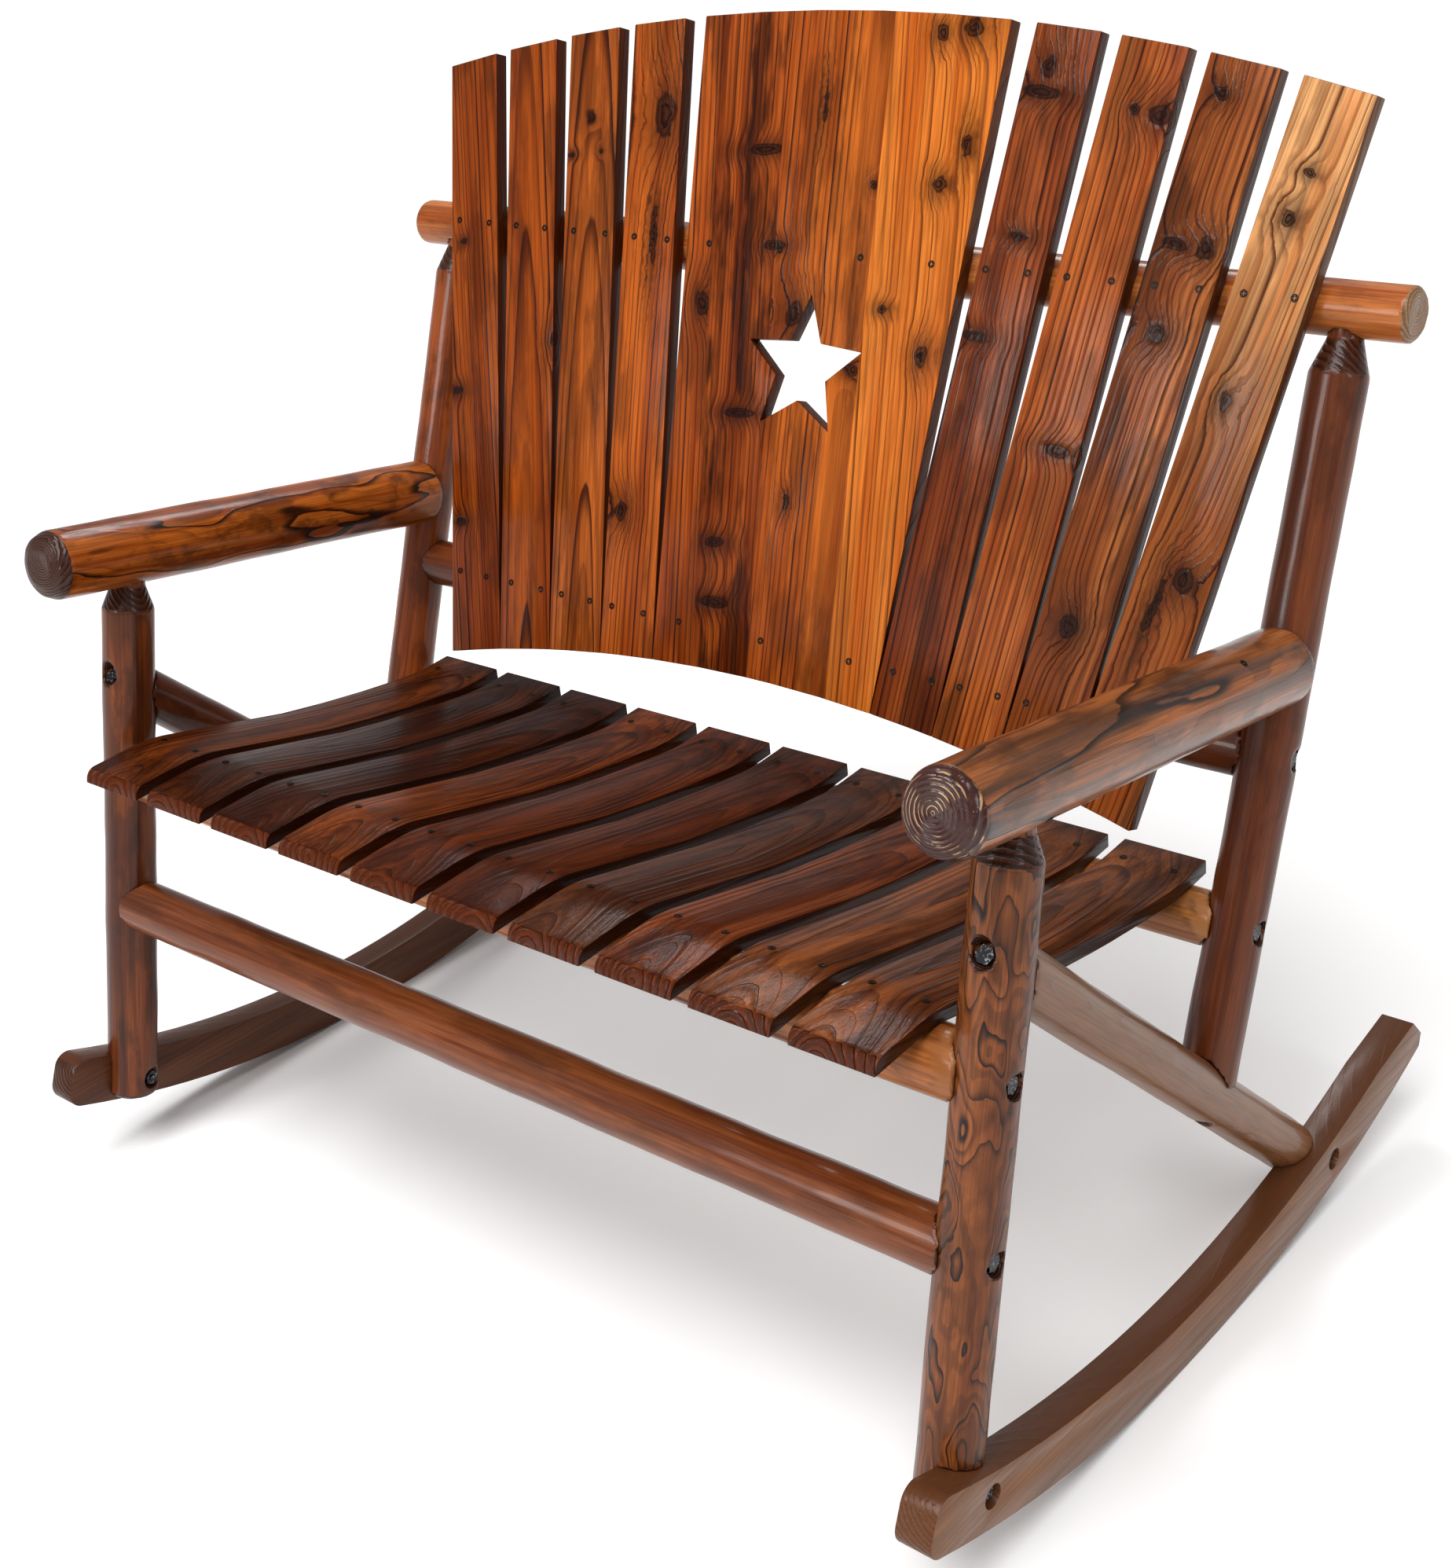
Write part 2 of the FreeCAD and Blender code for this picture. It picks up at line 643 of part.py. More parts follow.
def make_rails():
    make_rail("front_seat_rail", Spot("0", "0", "front_seat_rail_height"), "front_seat_rail_dia / 2",
              "front_leg_dia / 2")
    make_rail("front_stretcher", Spot("0", "0", "front_stretcher_height"), "front_stretcher_dia / 2",
              "front_leg_dia / 2")
    make_rail("rear_seat_rail",
              Spot("0", "rear_seat_rail_setback", "rear_seat_rail_height", "rear_post_lean"),
              "rear_seat_rail_dia / 2", "rear_post_dia / 2")
    make_rail("lower_back_rail",
              Spot("0", "lower_back_rail_setback", "lower_back_rail_height", "rear_post_lean"),
              "lower_back_rail_dia / 2", "rear_post_dia / 2", "0 - lower_rail_offset")


# Seat

def make_seat_slats():
    """Boards sawn to one wavy profile; each lies on the tops of the two seat rails."""
    count = int(driving["seat_slat_count"])
    contact_y = "(rear_seat_rail_setback - rear_seat_rail_dia / 2 * sin(seat_rear_lift))"
    contact_z = "(rear_seat_rail_height + rear_seat_rail_dia / 2 * cos(seat_rear_lift) - seat_front_top_height)"
    rear_y = f"({contact_y} + seat_rear_reach * cos(seat_rear_lift))"
    rear_z = f"({contact_z} + seat_rear_reach * sin(seat_rear_lift))"
    thick = "seat_slat_thickness"
    corners = [
        ("0 - seat_front_reach", "0 - seat_front_drop"),
        ("0 - seat_flat_reach", "0"),
        ("seat_flat_reach", "0"),
        ("seat_dip_setback", "0 - seat_dip"),
        (f"{contact_y} - seat_rear_run", f"{contact_z} - seat_rear_run_rise"),
        (contact_y, contact_z),
        (rear_y, rear_z),
        (f"{rear_y} - {thick} * sin(seat_rear_lift)", f"{rear_z} + {thick} * cos(seat_rear_lift)"),
        (f"{contact_y} - {thick} * sin(seat_rear_lift)", f"{contact_z} + {thick} * cos(seat_rear_lift)"),
        (f"{contact_y} - seat_rear_run - {thick} * sin(seat_dip_lift)",
         f"{contact_z} - seat_rear_run_rise + {thick} * cos(seat_dip_lift)"),
        ("seat_dip_setback", f"{thick} - seat_dip"),
        ("seat_flat_reach", thick),
        ("0 - seat_flat_reach", thick),
        ("0 - seat_front_reach", f"{thick} - seat_front_drop"),
    ]
    arcs = {
        3: ("seat_dip_radius", 1),
        4: ("seat_rear_radius", 1),
        8: (f"seat_rear_radius - {thick}", -1),
        9: (f"seat_dip_radius - {thick}", -1),
    }
    for number in range(1, count + 1):
        label = f"seat_slat_{number:02d}"
        place = f"({number} - (seat_slat_count + 1) / 2) * seat_slat_pitch"
        body = new_body(label, Spot(place, "0", "seat_front_top_height"))
        sketch = sketch_on(body, label + "_profile", "YZ_Plane")
        outline(sketch, corners, arcs)
        pad(body, sketch, "seat_slat_width", middle=True)
        nose_y = value("0 - seat_front_reach") + edge_margin
        nose_z = value("0 - seat_front_drop") + edge_margin

        def at_nose(edge):
            box = edge.BoundBox
            return box.YMax < nose_y and box.ZMin > nose_z and box.XLength > edge_margin
        bevel_edges(body, "seat_nose_bevel", at_nose)


# Back

def back_spot():
    return Spot("0", "lower_back_rail_setback", "lower_back_rail_height", "back_lean")


def head_of(x):
    return f"back_top_rise - back_top_radius + sqrt(back_top_radius * back_top_radius - ({x}) * ({x}))"


def foot_of(x):
    return (f"sqrt(back_bottom_radius * back_bottom_radius - ({x}) * ({x}))"
            f" - back_bottom_radius - back_bottom_drop")


def back_board(label, foot, head, side):
    """A board between two foot and two head places; its ends follow the arcs of the whole back."""
    body = new_body(label, back_spot())
    sketch = sketch_on(body, label + "_outline", "XZ_Plane", ("0", "0", "0 - back_rear_face"))
    corners = [(foot[0], foot_of(foot[0])), (foot[1], foot_of(foot[1])),
               (head[1], head_of(head[1])), (head[0], head_of(head[0]))]
    outline(sketch, corners, {0: ("back_bottom_radius", -side), 2: ("back_top_radius", side)})
    pad(body, sketch, "back_board_thickness")
    return body


def make_back():
    panel = back_board("back_panel", ("0 - back_panel_foot_width / 2", "back_panel_foot_width / 2"),
                       ("0 - back_panel_head_width / 2", "back_panel_head_width / 2"), 1)
    star = sketch_on(panel, "star", "XZ_Plane")
    corners = []
    for point in range(10):
        reach = "star_notch_radius" if point % 2 else "star_tip_radius"
        angle = 90 + 36 * point
        corners.append((f"{reach} * cos({angle})" if point % 5 else "0",
                        f"star_rise + {reach} * sin({angle})"))
    outline(star, corners)
    cut(panel, star, "through_cut", middle=True)
    for side, word in ((-1, "left"), (1, "right")):
        for number in range(4):
            foot = f"back_panel_foot_width / 2 + {number} * back_slat_foot_width"
            head = f"back_panel_head_width / 2 + back_slat_first_gap" \
                   f" + {number} * (back_slat_head_width + back_slat_gap)"
            feet = (f"{side} * ({foot} + board_play)", f"{side} * ({foot} + back_slat_foot_width)")
            heads = (f"{side} * ({head})", f"{side} * ({head} + back_slat_head_width)")
            back_board(f"back_slat_{word}_{number + 1}", feet, heads, side)


# Bolts and nuts

def stand_sideways(thing, x, y, height, side):
    """Put a bolt or nut across the bench, with its own z pointing out to that side."""
    along_x = FreeCAD.Rotation(FreeCAD.Vector(0, 1, 0), 90 * side)
    thing.Placement = FreeCAD.Placement(FreeCAD.Vector(), along_x)
    bind_place(thing, Spot(x, y, height))


def bar(name, sides, radius, length):
    prism = doc.addObject("Part::Prism", name)
    prism.Polygon = sides
    bind(prism, "Circumradius", radius)
    bind(prism, "Height", length)
    return prism


def hex_bolt(name, length):
    """Its head stands on its own origin and its plain shank hangs below."""
    shank = bar(name + "_shank", shank_sides, "bolt_dia / 2", length)
    bind(shank, "Placement.Base.z", f"0 - ({length})")
    bolt = doc.addObject("Part::Fuse", name)
    bolt.Base = bar(name + "_head", 6, "bolt_head_width / sqrt(3)", "bolt_head_height")
    bolt.Tool = shank
    return bolt


def nut(name):
    ring = doc.addObject("Part::Cut", name)
    ring.Base = bar(name + "_block", 6, "bolt_head_width / sqrt(3)", "bolt_nut_height")
    ring.Tool = bar(name + "_eye", shank_sides, "bolt_dia / 2", "bolt_nut_height")
    return ring


def group(label, things):
    compound = doc.addObject("Part::Compound", label)
    compound.Label = label
    compound.Links = things


def make_rocker_bolts():
    """Bolts through each rocker into a leg or a brace, with a nut in the inner recess."""
    bolts, nuts = [], []
    seat = "lap_plane + rocker_thickness - bolt_recess_depth"
    for side, word in ((-1, "left"), (1, "right")):
        for log, y, height, dia in (
                ("leg", "leg_bolt_setback", "leg_bolt_height", "front_leg_dia"),
                ("brace", "brace_bolt_setback", "brace_bolt_height", "side_brace_dia")):
            floor = f"(side_plane - {dia} / 2 + bolt_recess_depth)"
            bolt = hex_bolt(f"rocker_bolt_{word}_{log}", f"{seat} - {floor} + bolt_nut_height + bolt_end_reach")
            stand_sideways(bolt, f"{side} * ({seat})", y, height, side)
            bolts.append(bolt)
            ring = nut(f"rocker_nut_{word}_{log}")
            stand_sideways(ring, f"{side} * ({floor} - bolt_nut_height)", y, height, side)
            nuts.append(ring)
    group("rocker_bolts", bolts)
    group("rocker_nuts", nuts)


def make_rail_lag_bolts():
    """Sunk in the outer sides of the uprights, they draw the coped ends of the rails up to them."""
    bolts = []
    for side, word in ((-1, "left"), (1, "right")):
        for rail, y, height, dia in (
                ("front_seat_rail", "0", "front_seat_rail_height", "front_leg_dia"),
                ("front_stretcher", "0", "front_stretcher_height", "front_leg_dia"),
                ("rear_seat_rail", "rear_seat_rail_setback", "rear_seat_rail_height", "rear_post_dia"),
                ("lower_back_rail", "lower_back_rail_setback", "lower_back_rail_height", "rear_post_dia")):
            bolt = hex_bolt(f"lag_bolt_{rail}_{word}", f"{dia} - bolt_recess_depth + lag_grip")
            stand_sideways(bolt, f"{side} * (side_plane + {dia} / 2 - bolt_recess_depth)", y, height, side)
            bolts.append(bolt)
    group("rail_lag_bolts", bolts)


def make_side_frame_lag_bolts():
    """One from the leg's front into the brace, one from under the brace into the post."""
    joints = {
        "brace_lag_bolts": ("0", "side_brace_height", "(side_brace_slope - 90)",
                            "brace_recess_reach", "leg_along_brace"),
        "post_lag_bolts": ("rear_post_setback", "rear_post_foot_height", "(rear_post_lean + 180)",
                           "foot_recess_reach", "brace_along_post"),
    }
    for node, (y, height, lean, reach, half_width) in joints.items():
        bolts = []
        for side, word in ((-1, "left"), (1, "right")):
            bolt = hex_bolt(f"{node}_{word}", f"{reach} + {half_width} + lag_grip")
            stand(bolt, Spot(f"{side} * side_plane", f"{y} + {reach} * sin({lean})",
                             f"{height} + {reach} * cos({lean})", lean))
            bolts.append(bolt)
        group(node, bolts)


def make_bench():
    fill_sheet()
    for side, word in ((-1, "left"), (1, "right")):
        make_rocker(f"rocker_{word}", side)
        make_front_leg(f"front_leg_{word}", side)
        make_rear_post(f"rear_post_{word}", side)
        make_armrest(f"armrest_{word}", side)
        make_side_brace(f"side_brace_{word}", side)
    make_crest_rail()
    make_rails()
    make_seat_slats()
    make_back()
    make_rocker_bolts()
    make_rail_lag_bolts()
    make_side_frame_lag_bolts()
    doc.recompute()


def write_parts():
    faults = [item.Label for item in doc.Objects if {"Invalid", "Error"} & set(item.State)]
    if faults:
        raise RuntimeError("these did not compute: " + ", ".join(faults))
    pieces = [item for item in doc.Objects if item.TypeId in ("PartDesign::Body", "Part::Compound")]
    for piece in pieces:
        shape = piece.Shape
        if shape.isNull() or not shape.isValid() or not shape.Solids:
            raise RuntimeError(f"{piece.Label} has no sound solid")
    os.makedirs("parts", exist_ok=True)
    for piece in pieces:
        piece.Shape.exportStep(f"parts/{piece.Label}.step")
        print(f"{piece.Label:24s} {len(piece.Shape.Solids):3d} solids {piece.Shape.Volume / 1000:10.1f} cm3")
    print_balance([piece for piece in pieces if piece.TypeId == "PartDesign::Body"])


def print_balance(pieces):
    """The wood's centre of mass and the tilt at which it stands over the line of touch."""
    volume = sum(piece.Shape.Volume for piece in pieces)
    centre = FreeCAD.Vector()
    for solid in (solid for piece in pieces for solid in piece.Shape.Solids):
        centre += solid.CenterOfMass * (solid.Volume / volume)
    lean = math.degrees(math.atan2(centre.y, value("rocker_radius") - centre.z))
    print(f"wood {volume / 1e6:.2f} litres, centre {centre.x:.2f} {centre.y:.2f} {centre.z:.2f},"
          f" balanced rest tilt {value('rest_tilt') + lean:.3f}")


make_bench()
write_parts()
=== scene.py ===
import math

import bpy
from mathutils import Matrix, Vector


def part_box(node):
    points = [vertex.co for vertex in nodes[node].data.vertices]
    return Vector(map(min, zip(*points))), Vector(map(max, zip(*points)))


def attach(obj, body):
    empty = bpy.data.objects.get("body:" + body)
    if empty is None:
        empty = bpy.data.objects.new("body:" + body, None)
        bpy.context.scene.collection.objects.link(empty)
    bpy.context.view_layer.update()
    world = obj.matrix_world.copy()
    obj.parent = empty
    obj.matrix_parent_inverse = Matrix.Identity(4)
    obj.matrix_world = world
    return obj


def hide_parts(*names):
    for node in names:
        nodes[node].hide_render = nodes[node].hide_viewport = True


# A rocking bench of turned, charred and lacquered logs, with a fan back and a wavy slatted seat.
# Every wooden piece is a copy of its solid, softened at the edges, and carries its own grain: growth
# rings round a pith line, knots, fibres and char, all laid out along the piece.  The bolts and nuts
# are the solids themselves, and the small screws are added here.

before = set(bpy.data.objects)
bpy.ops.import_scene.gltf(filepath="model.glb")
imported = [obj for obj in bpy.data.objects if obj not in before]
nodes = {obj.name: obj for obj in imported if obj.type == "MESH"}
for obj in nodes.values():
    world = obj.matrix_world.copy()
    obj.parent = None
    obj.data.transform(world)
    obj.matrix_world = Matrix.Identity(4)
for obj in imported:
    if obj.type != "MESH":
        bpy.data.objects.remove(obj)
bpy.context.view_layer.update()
mm = 0.001


def tone(red, green, blue):
    # a colour as the eye reads it, 0 to 255, in the renderer's linear light
    linear = [(part / 255) ** 2.2 for part in (red, green, blue)]
    return (*linear, 1)


lacquer = (0.76, 0.62, 0.42, 1)   # shares of red, green and blue that it lets through


def stained(red, green, blue):
    # the same under lacquer, which deepens a wood's tone and takes most of its blue
    return tuple(part * share for part, share in zip(tone(red, green, blue), lacquer))


# Stance of the bench, in degrees back from upright

lean = {
    "bench": 10.95,
    "post": 18.57,
    "armrest": 98.02,
    "brace": 131.45,
    "rocker": 90.8,
    "slat": 100.95,
    "back": 17.98,
}

right = Vector((1, 0, 0))


def direction(angle):
    # along a piece that leans back from upright by the angle
    turned = math.radians(angle)
    return Vector((0, math.sin(turned), math.cos(turned)))


def middle(node):
    low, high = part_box(node)
    return (low + high) / 2


# Node wiring

class Wiring:
    # adds shader nodes to a tree and joins them up

    def __init__(self, tree):
        self.tree = tree

    def add(self, kind, inputs=None, **settings):
        made = self.tree.nodes.new(kind)
        for name, setting in settings.items():
            setattr(made, name, setting)
        for key, source in (inputs or {}).items():
            self.feed(made.inputs[key], source)
        return made

    def feed(self, socket, source):
        if isinstance(source, bpy.types.NodeSocket):
            self.tree.links.new(source, socket)
        else:
            socket.default_value = source

    def maths(self, operation, *sources):
        made = self.tree.nodes.new("ShaderNodeMath")
        made.operation = operation
        for index, source in enumerate(sources):
            self.feed(made.inputs[index], source)
        return made.outputs[0]

    def vector(self, operation, *sources):
        made = self.tree.nodes.new("ShaderNodeVectorMath")
        made.operation = operation
        for index, source in enumerate(sources):
            self.feed(made.inputs[index], source)
        return made.outputs["Value" if operation in ("LENGTH", "DOT_PRODUCT") else "Vector"]

    def stretch(self, place, across, along):
        # the place with its u and v times across and its w times along
        size = self.add("ShaderNodeCombineXYZ", {0: across, 1: across, 2: along})
        return self.vector("MULTIPLY", place, size.outputs[0])

    def noise(self, place, scale, detail=2.0, roughness=0.5, colour=False):
        made = self.add("ShaderNodeTexNoise",
                        {"Vector": place, "Scale": scale, "Detail": detail, "Roughness": roughness})
        return made.outputs[1 if colour else 0]

    def wobble(self, count, scale, detail):
        made = self.add("ShaderNodeTexNoise", {"W": self.maths("MULTIPLY", count, scale), "Scale": 1.0,
                                               "Detail": detail}, noise_dimensions="1D")
        return made.outputs[0]

    def sway(self, place, scale):
        # a colour noise as a push to any side, half a unit at most
        return self.vector("SUBTRACT", self.noise(place, scale, 2.0, colour=True), (0.5, 0.5, 0.5))

    def addUp(self, *shares):
        # the sum of sources, each times its share
        total = None
        for source, share in shares:
            part = source if share == 1.0 else self.maths("MULTIPLY", source, share)
            total = part if total is None else self.maths("ADD", total, part)
        return total

    def ease(self, source, start, end, low=0.0, high=1.0):
        # the source's run from start to end, eased from low to high
        made = self.add("ShaderNodeMapRange", {0: source, 1: start, 2: end, 3: low, 4: high},
                        interpolation_type="SMOOTHSTEP")
        return made.outputs[0]

    def mix(self, share, first, second, blend="MIX"):
        made = self.add("ShaderNodeMix", data_type="RGBA", blend_type=blend)
        self.feed(made.inputs[0], share)
        self.feed(made.inputs[6], first)
        self.feed(made.inputs[7], second)
        return made.outputs[2]


def newGroup(name, inputs, outputs):
    tree = bpy.data.node_groups.new(name, "ShaderNodeTree")
    kinds = {"f": "NodeSocketFloat", "v": "NodeSocketVector", "c": "NodeSocketColor"}
    for way, sockets in (("INPUT", inputs), ("OUTPUT", outputs)):
        for socket, kind in sockets.items():
            tree.interface.new_socket(name=socket, in_out=way, socket_type=kinds[kind])
    given = tree.nodes.new("NodeGroupInput").outputs
    result = tree.nodes.new("NodeGroupOutput").inputs
    return tree, Wiring(tree), given, result


# Wood

knotShape = {
    "wanderScale": 85.0,       # swings of a knot's outline per metre
    "wander": 0.011,           # metres by which the outline strays
    "spread": 0.45,            # the larger, the closer the push and the stain keep to the knot
    "stainFall": 0.8,
    "eyes": 2.2,               # rings in each size of a knot's heart
    "eyeTone": 0.88,           # how dark the light part of such a ring stays
    "heartStart": 1.3,         # sizes from the centre where the dark heart starts
    "heartFull": 0.7,
}


def makeKnotGroup():
    # a knot: how far it pushes the rings aside, its dark heart, and the stain that it leaves about it
    tree, wire, given, result = newGroup(
        "knot", {"Point": "v", "Centre": "v", "Size": "f", "Length": "f"},
        {"Push": "f", "Heart": "f", "Stain": "f"})
    away = wire.vector("SUBTRACT", given["Point"], given["Centre"])
    away = wire.stretch(away, 1.0, wire.maths("DIVIDE", 1.0, given["Length"]))
    wander = wire.sway(given["Point"], knotShape["wanderScale"])
    away = wire.vector("ADD", away, wire.vector("MULTIPLY", wander, (knotShape["wander"],) * 3))
    reach = wire.maths("DIVIDE", wire.vector("LENGTH", away), given["Size"])
    fall = wire.maths("POWER", wire.maths("MULTIPLY", reach, knotShape["spread"]), 2.0)
    push = wire.maths("EXPONENT", wire.maths("MULTIPLY", fall, -1.0))
    slim = wire.maths("MULTIPLY", wire.maths("MINIMUM", given["Length"], 1.0), given["Size"])
    wire.feed(result["Push"], wire.maths("MULTIPLY", push, slim))
    wire.feed(result["Stain"], wire.maths("POWER", push, knotShape["stainFall"]))
    eyes = wire.maths("FRACT", wire.maths("MULTIPLY", reach, knotShape["eyes"]))
    eyes = wire.ease(eyes, 0.2, 0.9, knotShape["eyeTone"], 1.0)
    heart = wire.ease(reach, knotShape["heartStart"], knotShape["heartFull"])
    wire.feed(result["Heart"], wire.maths("MULTIPLY", heart, eyes))
    return tree


grainShape = {
    "rippleScale": 52.0,       # small waves of the rings per metre
    "knotPush": 1.5,           # how far a knot moves the rings, in its own sizes
    "widthScale": 0.31,        # rings come wide and narrow in runs, this many runs per ring
    "widthSwing": 2.4,         # rings by which a run strays
    "strengthScale": 0.77,     # and strong and faint in runs of their own
    "faintest": 0.3,
    "fineStretch": 0.022,      # fibres run this much slower along the wood than across
    "fibreScale": 640.0,       # fibres, streaks, zones of tone and soot per metre
    "streakScale": 150.0,
    "zoneScale": 38.0,
    "zoneStretch": 2.2,
    "sootScale": 24.0,
    "sootStretch": 2.4,
    "streakShare": 0.45,       # of the change from light to body tone; the zones have the rest
    "zoneShare": 0.55,
    "threadTone": 0.45,        # how dark the darkest streaks get
    "fibreTone": (0.72, 1.16),
    "sootStreaks": 0.45,       # soot that is left between the streaks
    "stainTone": 0.75,         # how dark the stain about a knot gets
    "endRagged": 0.004,        # metres by which the rings of a cut end stray
    # patches of painted glint on cut ends, per metre
    "paintedGlintScale": 55.0,
    "freshRagged": 0.05,       # how far the edge of a fresh cut follows ripples and streaks
    "freshStreaks": 0.012,
    "freshTone": 0.7,
    "roughness": (0.28, 0.45),
    "lateHeight": 0.6,         # relief of late wood, fibres, streaks, knots and end rings
    "fibreHeight": 0.25,
    "streakHeight": 0.5,
    "heartHeight": -0.5,
    "endHeight": 3.0,
    "reliefDepth": 1.2,        # millimetres
}


def makeGrainGroup():
    # rings, fibres and char of one piece of wood, in the piece's own frame: u, v, and w along it
    tree, wire, given, result = newGroup("grain", {
        "Point": "v", "Facing": "v", "Seed": "v", "Pith": "v", "Drift": "v", "Spacing": "f", "Sway": "f",
        "Wave": "f", "Stretch": "f", "Ripple": "f", "Onset": "f", "Lines": "f", "Char": "f",
        "Push": "f", "Heart": "f", "Stain": "f", "Ends": "f", "EndFrom": "f", "EndSpacing": "f",
        "EndLines": "f", "EndGlint": "f", "Sides": "f", "Fresh": "f", "FadeFrom": "f", "FadeTo": "f",
        "Light": "c", "Body": "c", "Dark": "c", "Burnt": "c", "End": "c", "Side": "c", "Pale": "c",
        "Deep": "c"}, {"Colour": "c", "Gloss": "f", "Height": "f"})
    point = given["Point"]
    flow = wire.vector("ADD", wire.stretch(point, 1.0, given["Stretch"]), given["Seed"])
    along = wire.add("ShaderNodeSeparateXYZ", {0: point}).outputs[2]

    # the distance from the pith line, and with it the count of rings
    swaySize = wire.add("ShaderNodeCombineXYZ", {0: given["Sway"], 1: given["Sway"], 2: 0.0}).outputs[0]
    sway = wire.vector("MULTIPLY", wire.sway(flow, given["Wave"]), swaySize)
    length = wire.add("ShaderNodeCombineXYZ", {0: along, 1: along, 2: 0.0}).outputs[0]
    pith = wire.vector("ADD", given["Pith"], wire.vector("MULTIPLY", given["Drift"], length))
    off = wire.vector("SUBTRACT", wire.vector("MULTIPLY", point, (1, 1, 0)), pith)
    ripple = wire.maths("SUBTRACT", wire.noise(flow, grainShape["rippleScale"], 3.0), 0.5)
    reach = wire.vector("LENGTH", wire.vector("ADD", off, sway))
    reach = wire.addUp((reach, 1.0), (ripple, given["Ripple"]), (given["Push"], grainShape["knotPush"]))
    count = wire.maths("DIVIDE", reach, given["Spacing"])
    width = wire.wobble(count, grainShape["widthScale"], 2.0)
    count = wire.addUp((count, 1.0), (width, grainShape["widthSwing"]))
    ring = wire.maths("FRACT", count)
    late = wire.maths("MULTIPLY", wire.ease(ring, given["Onset"], 0.9), wire.ease(ring, 1.0, 0.93))
    strength = wire.ease(wire.wobble(count, grainShape["strengthScale"], 0.0), 0.3, 0.7,
                         grainShape["faintest"], 1.0)
    late = wire.maths("MULTIPLY", late, strength)

    # fibres, streaks and broad zones of tone, all drawn out along the wood
    fine = wire.vector("ADD", wire.stretch(point, 1.0, grainShape["fineStretch"]), given["Seed"])
    fibres = wire.noise(fine, grainShape["fibreScale"], 3.0, 0.6)
    streaks = wire.noise(fine, grainShape["streakScale"], 3.0, 0.6)
    zones = wire.noise(wire.stretch(fine, 1.0, grainShape["zoneStretch"]), grainShape["zoneScale"], 2.0)
    soot = wire.noise(wire.stretch(flow, 1.0, grainShape["sootStretch"]), grainShape["sootScale"],
                      4.0, 0.62)
    shade = wire.addUp((streaks, grainShape["streakShare"]), (zones, grainShape["zoneShare"]))
    colour = wire.mix(wire.ease(shade, 0.40, 0.60), given["Body"], given["Light"])
    threads = wire.ease(streaks, 0.52, 0.70, 0.0, grainShape["threadTone"])
    colour = wire.mix(wire.maths("MULTIPLY", threads, given["Lines"]), colour, given["Dark"])
    colour = wire.mix(wire.maths("MULTIPLY", late, given["Lines"]), colour, given["Dark"])
    grey = wire.ease(fibres, 0.25, 0.75, *grainShape["fibreTone"])
    shadeColour = wire.add("ShaderNodeCombineXYZ", {0: grey, 1: grey, 2: grey}).outputs[0]
    colour = wire.mix(1.0, colour, shadeColour, "MULTIPLY")
    fade = wire.ease(along, given["FadeFrom"], given["FadeTo"])
    colour = wire.mix(fade, colour, given["Deep"], "MULTIPLY")
    burn = wire.maths("MULTIPLY", wire.ease(soot, 0.46, 0.6), given["Char"])
    burn = wire.maths("MULTIPLY", burn, wire.ease(streaks, 0.32, 0.58, grainShape["sootStreaks"], 1.0))
    burn = wire.maths("MAXIMUM", burn, wire.maths("MULTIPLY", given["Stain"], grainShape["stainTone"]))
    burn = wire.maths("MAXIMUM", burn, given["Heart"])
    colour = wire.mix(burn, colour, given["Burnt"])

    # sawn sides
    facing = wire.add("ShaderNodeSeparateXYZ", {0: given["Facing"]}).outputs
    flat = wire.maths("ABSOLUTE", facing[1])
    sideShare = wire.maths("MULTIPLY", wire.ease(flat, 0.75, 0.35), given["Sides"])
    colour = wire.mix(sideShare, colour, given["Side"])

    # ends, with their rings and the glints painted on them as pale lines, a painted highlight
    endFacing = wire.maths("SUBTRACT", wire.maths("ABSOLUTE", facing[2]), given["EndFrom"])
    endShare = wire.maths("MULTIPLY", wire.ease(endFacing, 0.0, 0.12), given["Ends"])
    endReach = wire.addUp((wire.vector("LENGTH", off), 1.0), (ripple, grainShape["endRagged"]))
    endCount = wire.maths("DIVIDE", endReach, given["EndSpacing"])
    endRing = wire.maths("FRACT", wire.maths("ADD", endCount, wire.wobble(endCount, 0.4, 1.0)))
    endLate = wire.maths("MULTIPLY", wire.ease(endRing, 0.2, 0.75), wire.ease(endRing, 1.0, 0.85))
    endColour = wire.mix(wire.maths("MULTIPLY", endLate, given["EndLines"]), given["End"], given["Burnt"])
    # painted highlight: pale thin lines along the end rings, in patches, stand in for glints of light
    paintedGlint = wire.maths("MULTIPLY", wire.ease(endRing, 0.72, 0.86), wire.ease(endRing, 1.0, 0.94))
    patches = wire.ease(wire.noise(point, grainShape["paintedGlintScale"], 2.0), 0.46, 0.58)
    paintedGlint = wire.maths("MULTIPLY", wire.maths("MULTIPLY", paintedGlint, patches), given["EndGlint"])
    endColour = wire.mix(paintedGlint, endColour, given["Pale"])
    endColour = wire.mix(1.0, endColour, shadeColour, "MULTIPLY")
    colour = wire.mix(endShare, colour, endColour)

    # fresh wood where an end was cut to fit
    tip = wire.addUp((wire.maths("ABSOLUTE", along), 1.0), (ripple, grainShape["freshRagged"]),
                     (streaks, grainShape["freshStreaks"]), (given["Fresh"], -1.0))
    freshShare = wire.ease(tip, 0.004, 0.012, 0.0, grainShape["freshTone"])
    wire.feed(result["Colour"], wire.mix(freshShare, colour, given["Pale"]))

    wire.feed(result["Gloss"], wire.ease(streaks, 0.3, 0.7, *grainShape["roughness"]))
    endRelief = wire.maths("MULTIPLY", endLate, endShare)
    wire.feed(result["Height"], wire.addUp(
        (late, grainShape["lateHeight"]), (fibres, grainShape["fibreHeight"]),
        (streaks, grainShape["streakHeight"]), (given["Heart"], grainShape["heartHeight"]),
        (endRelief, grainShape["endHeight"])))
    return tree


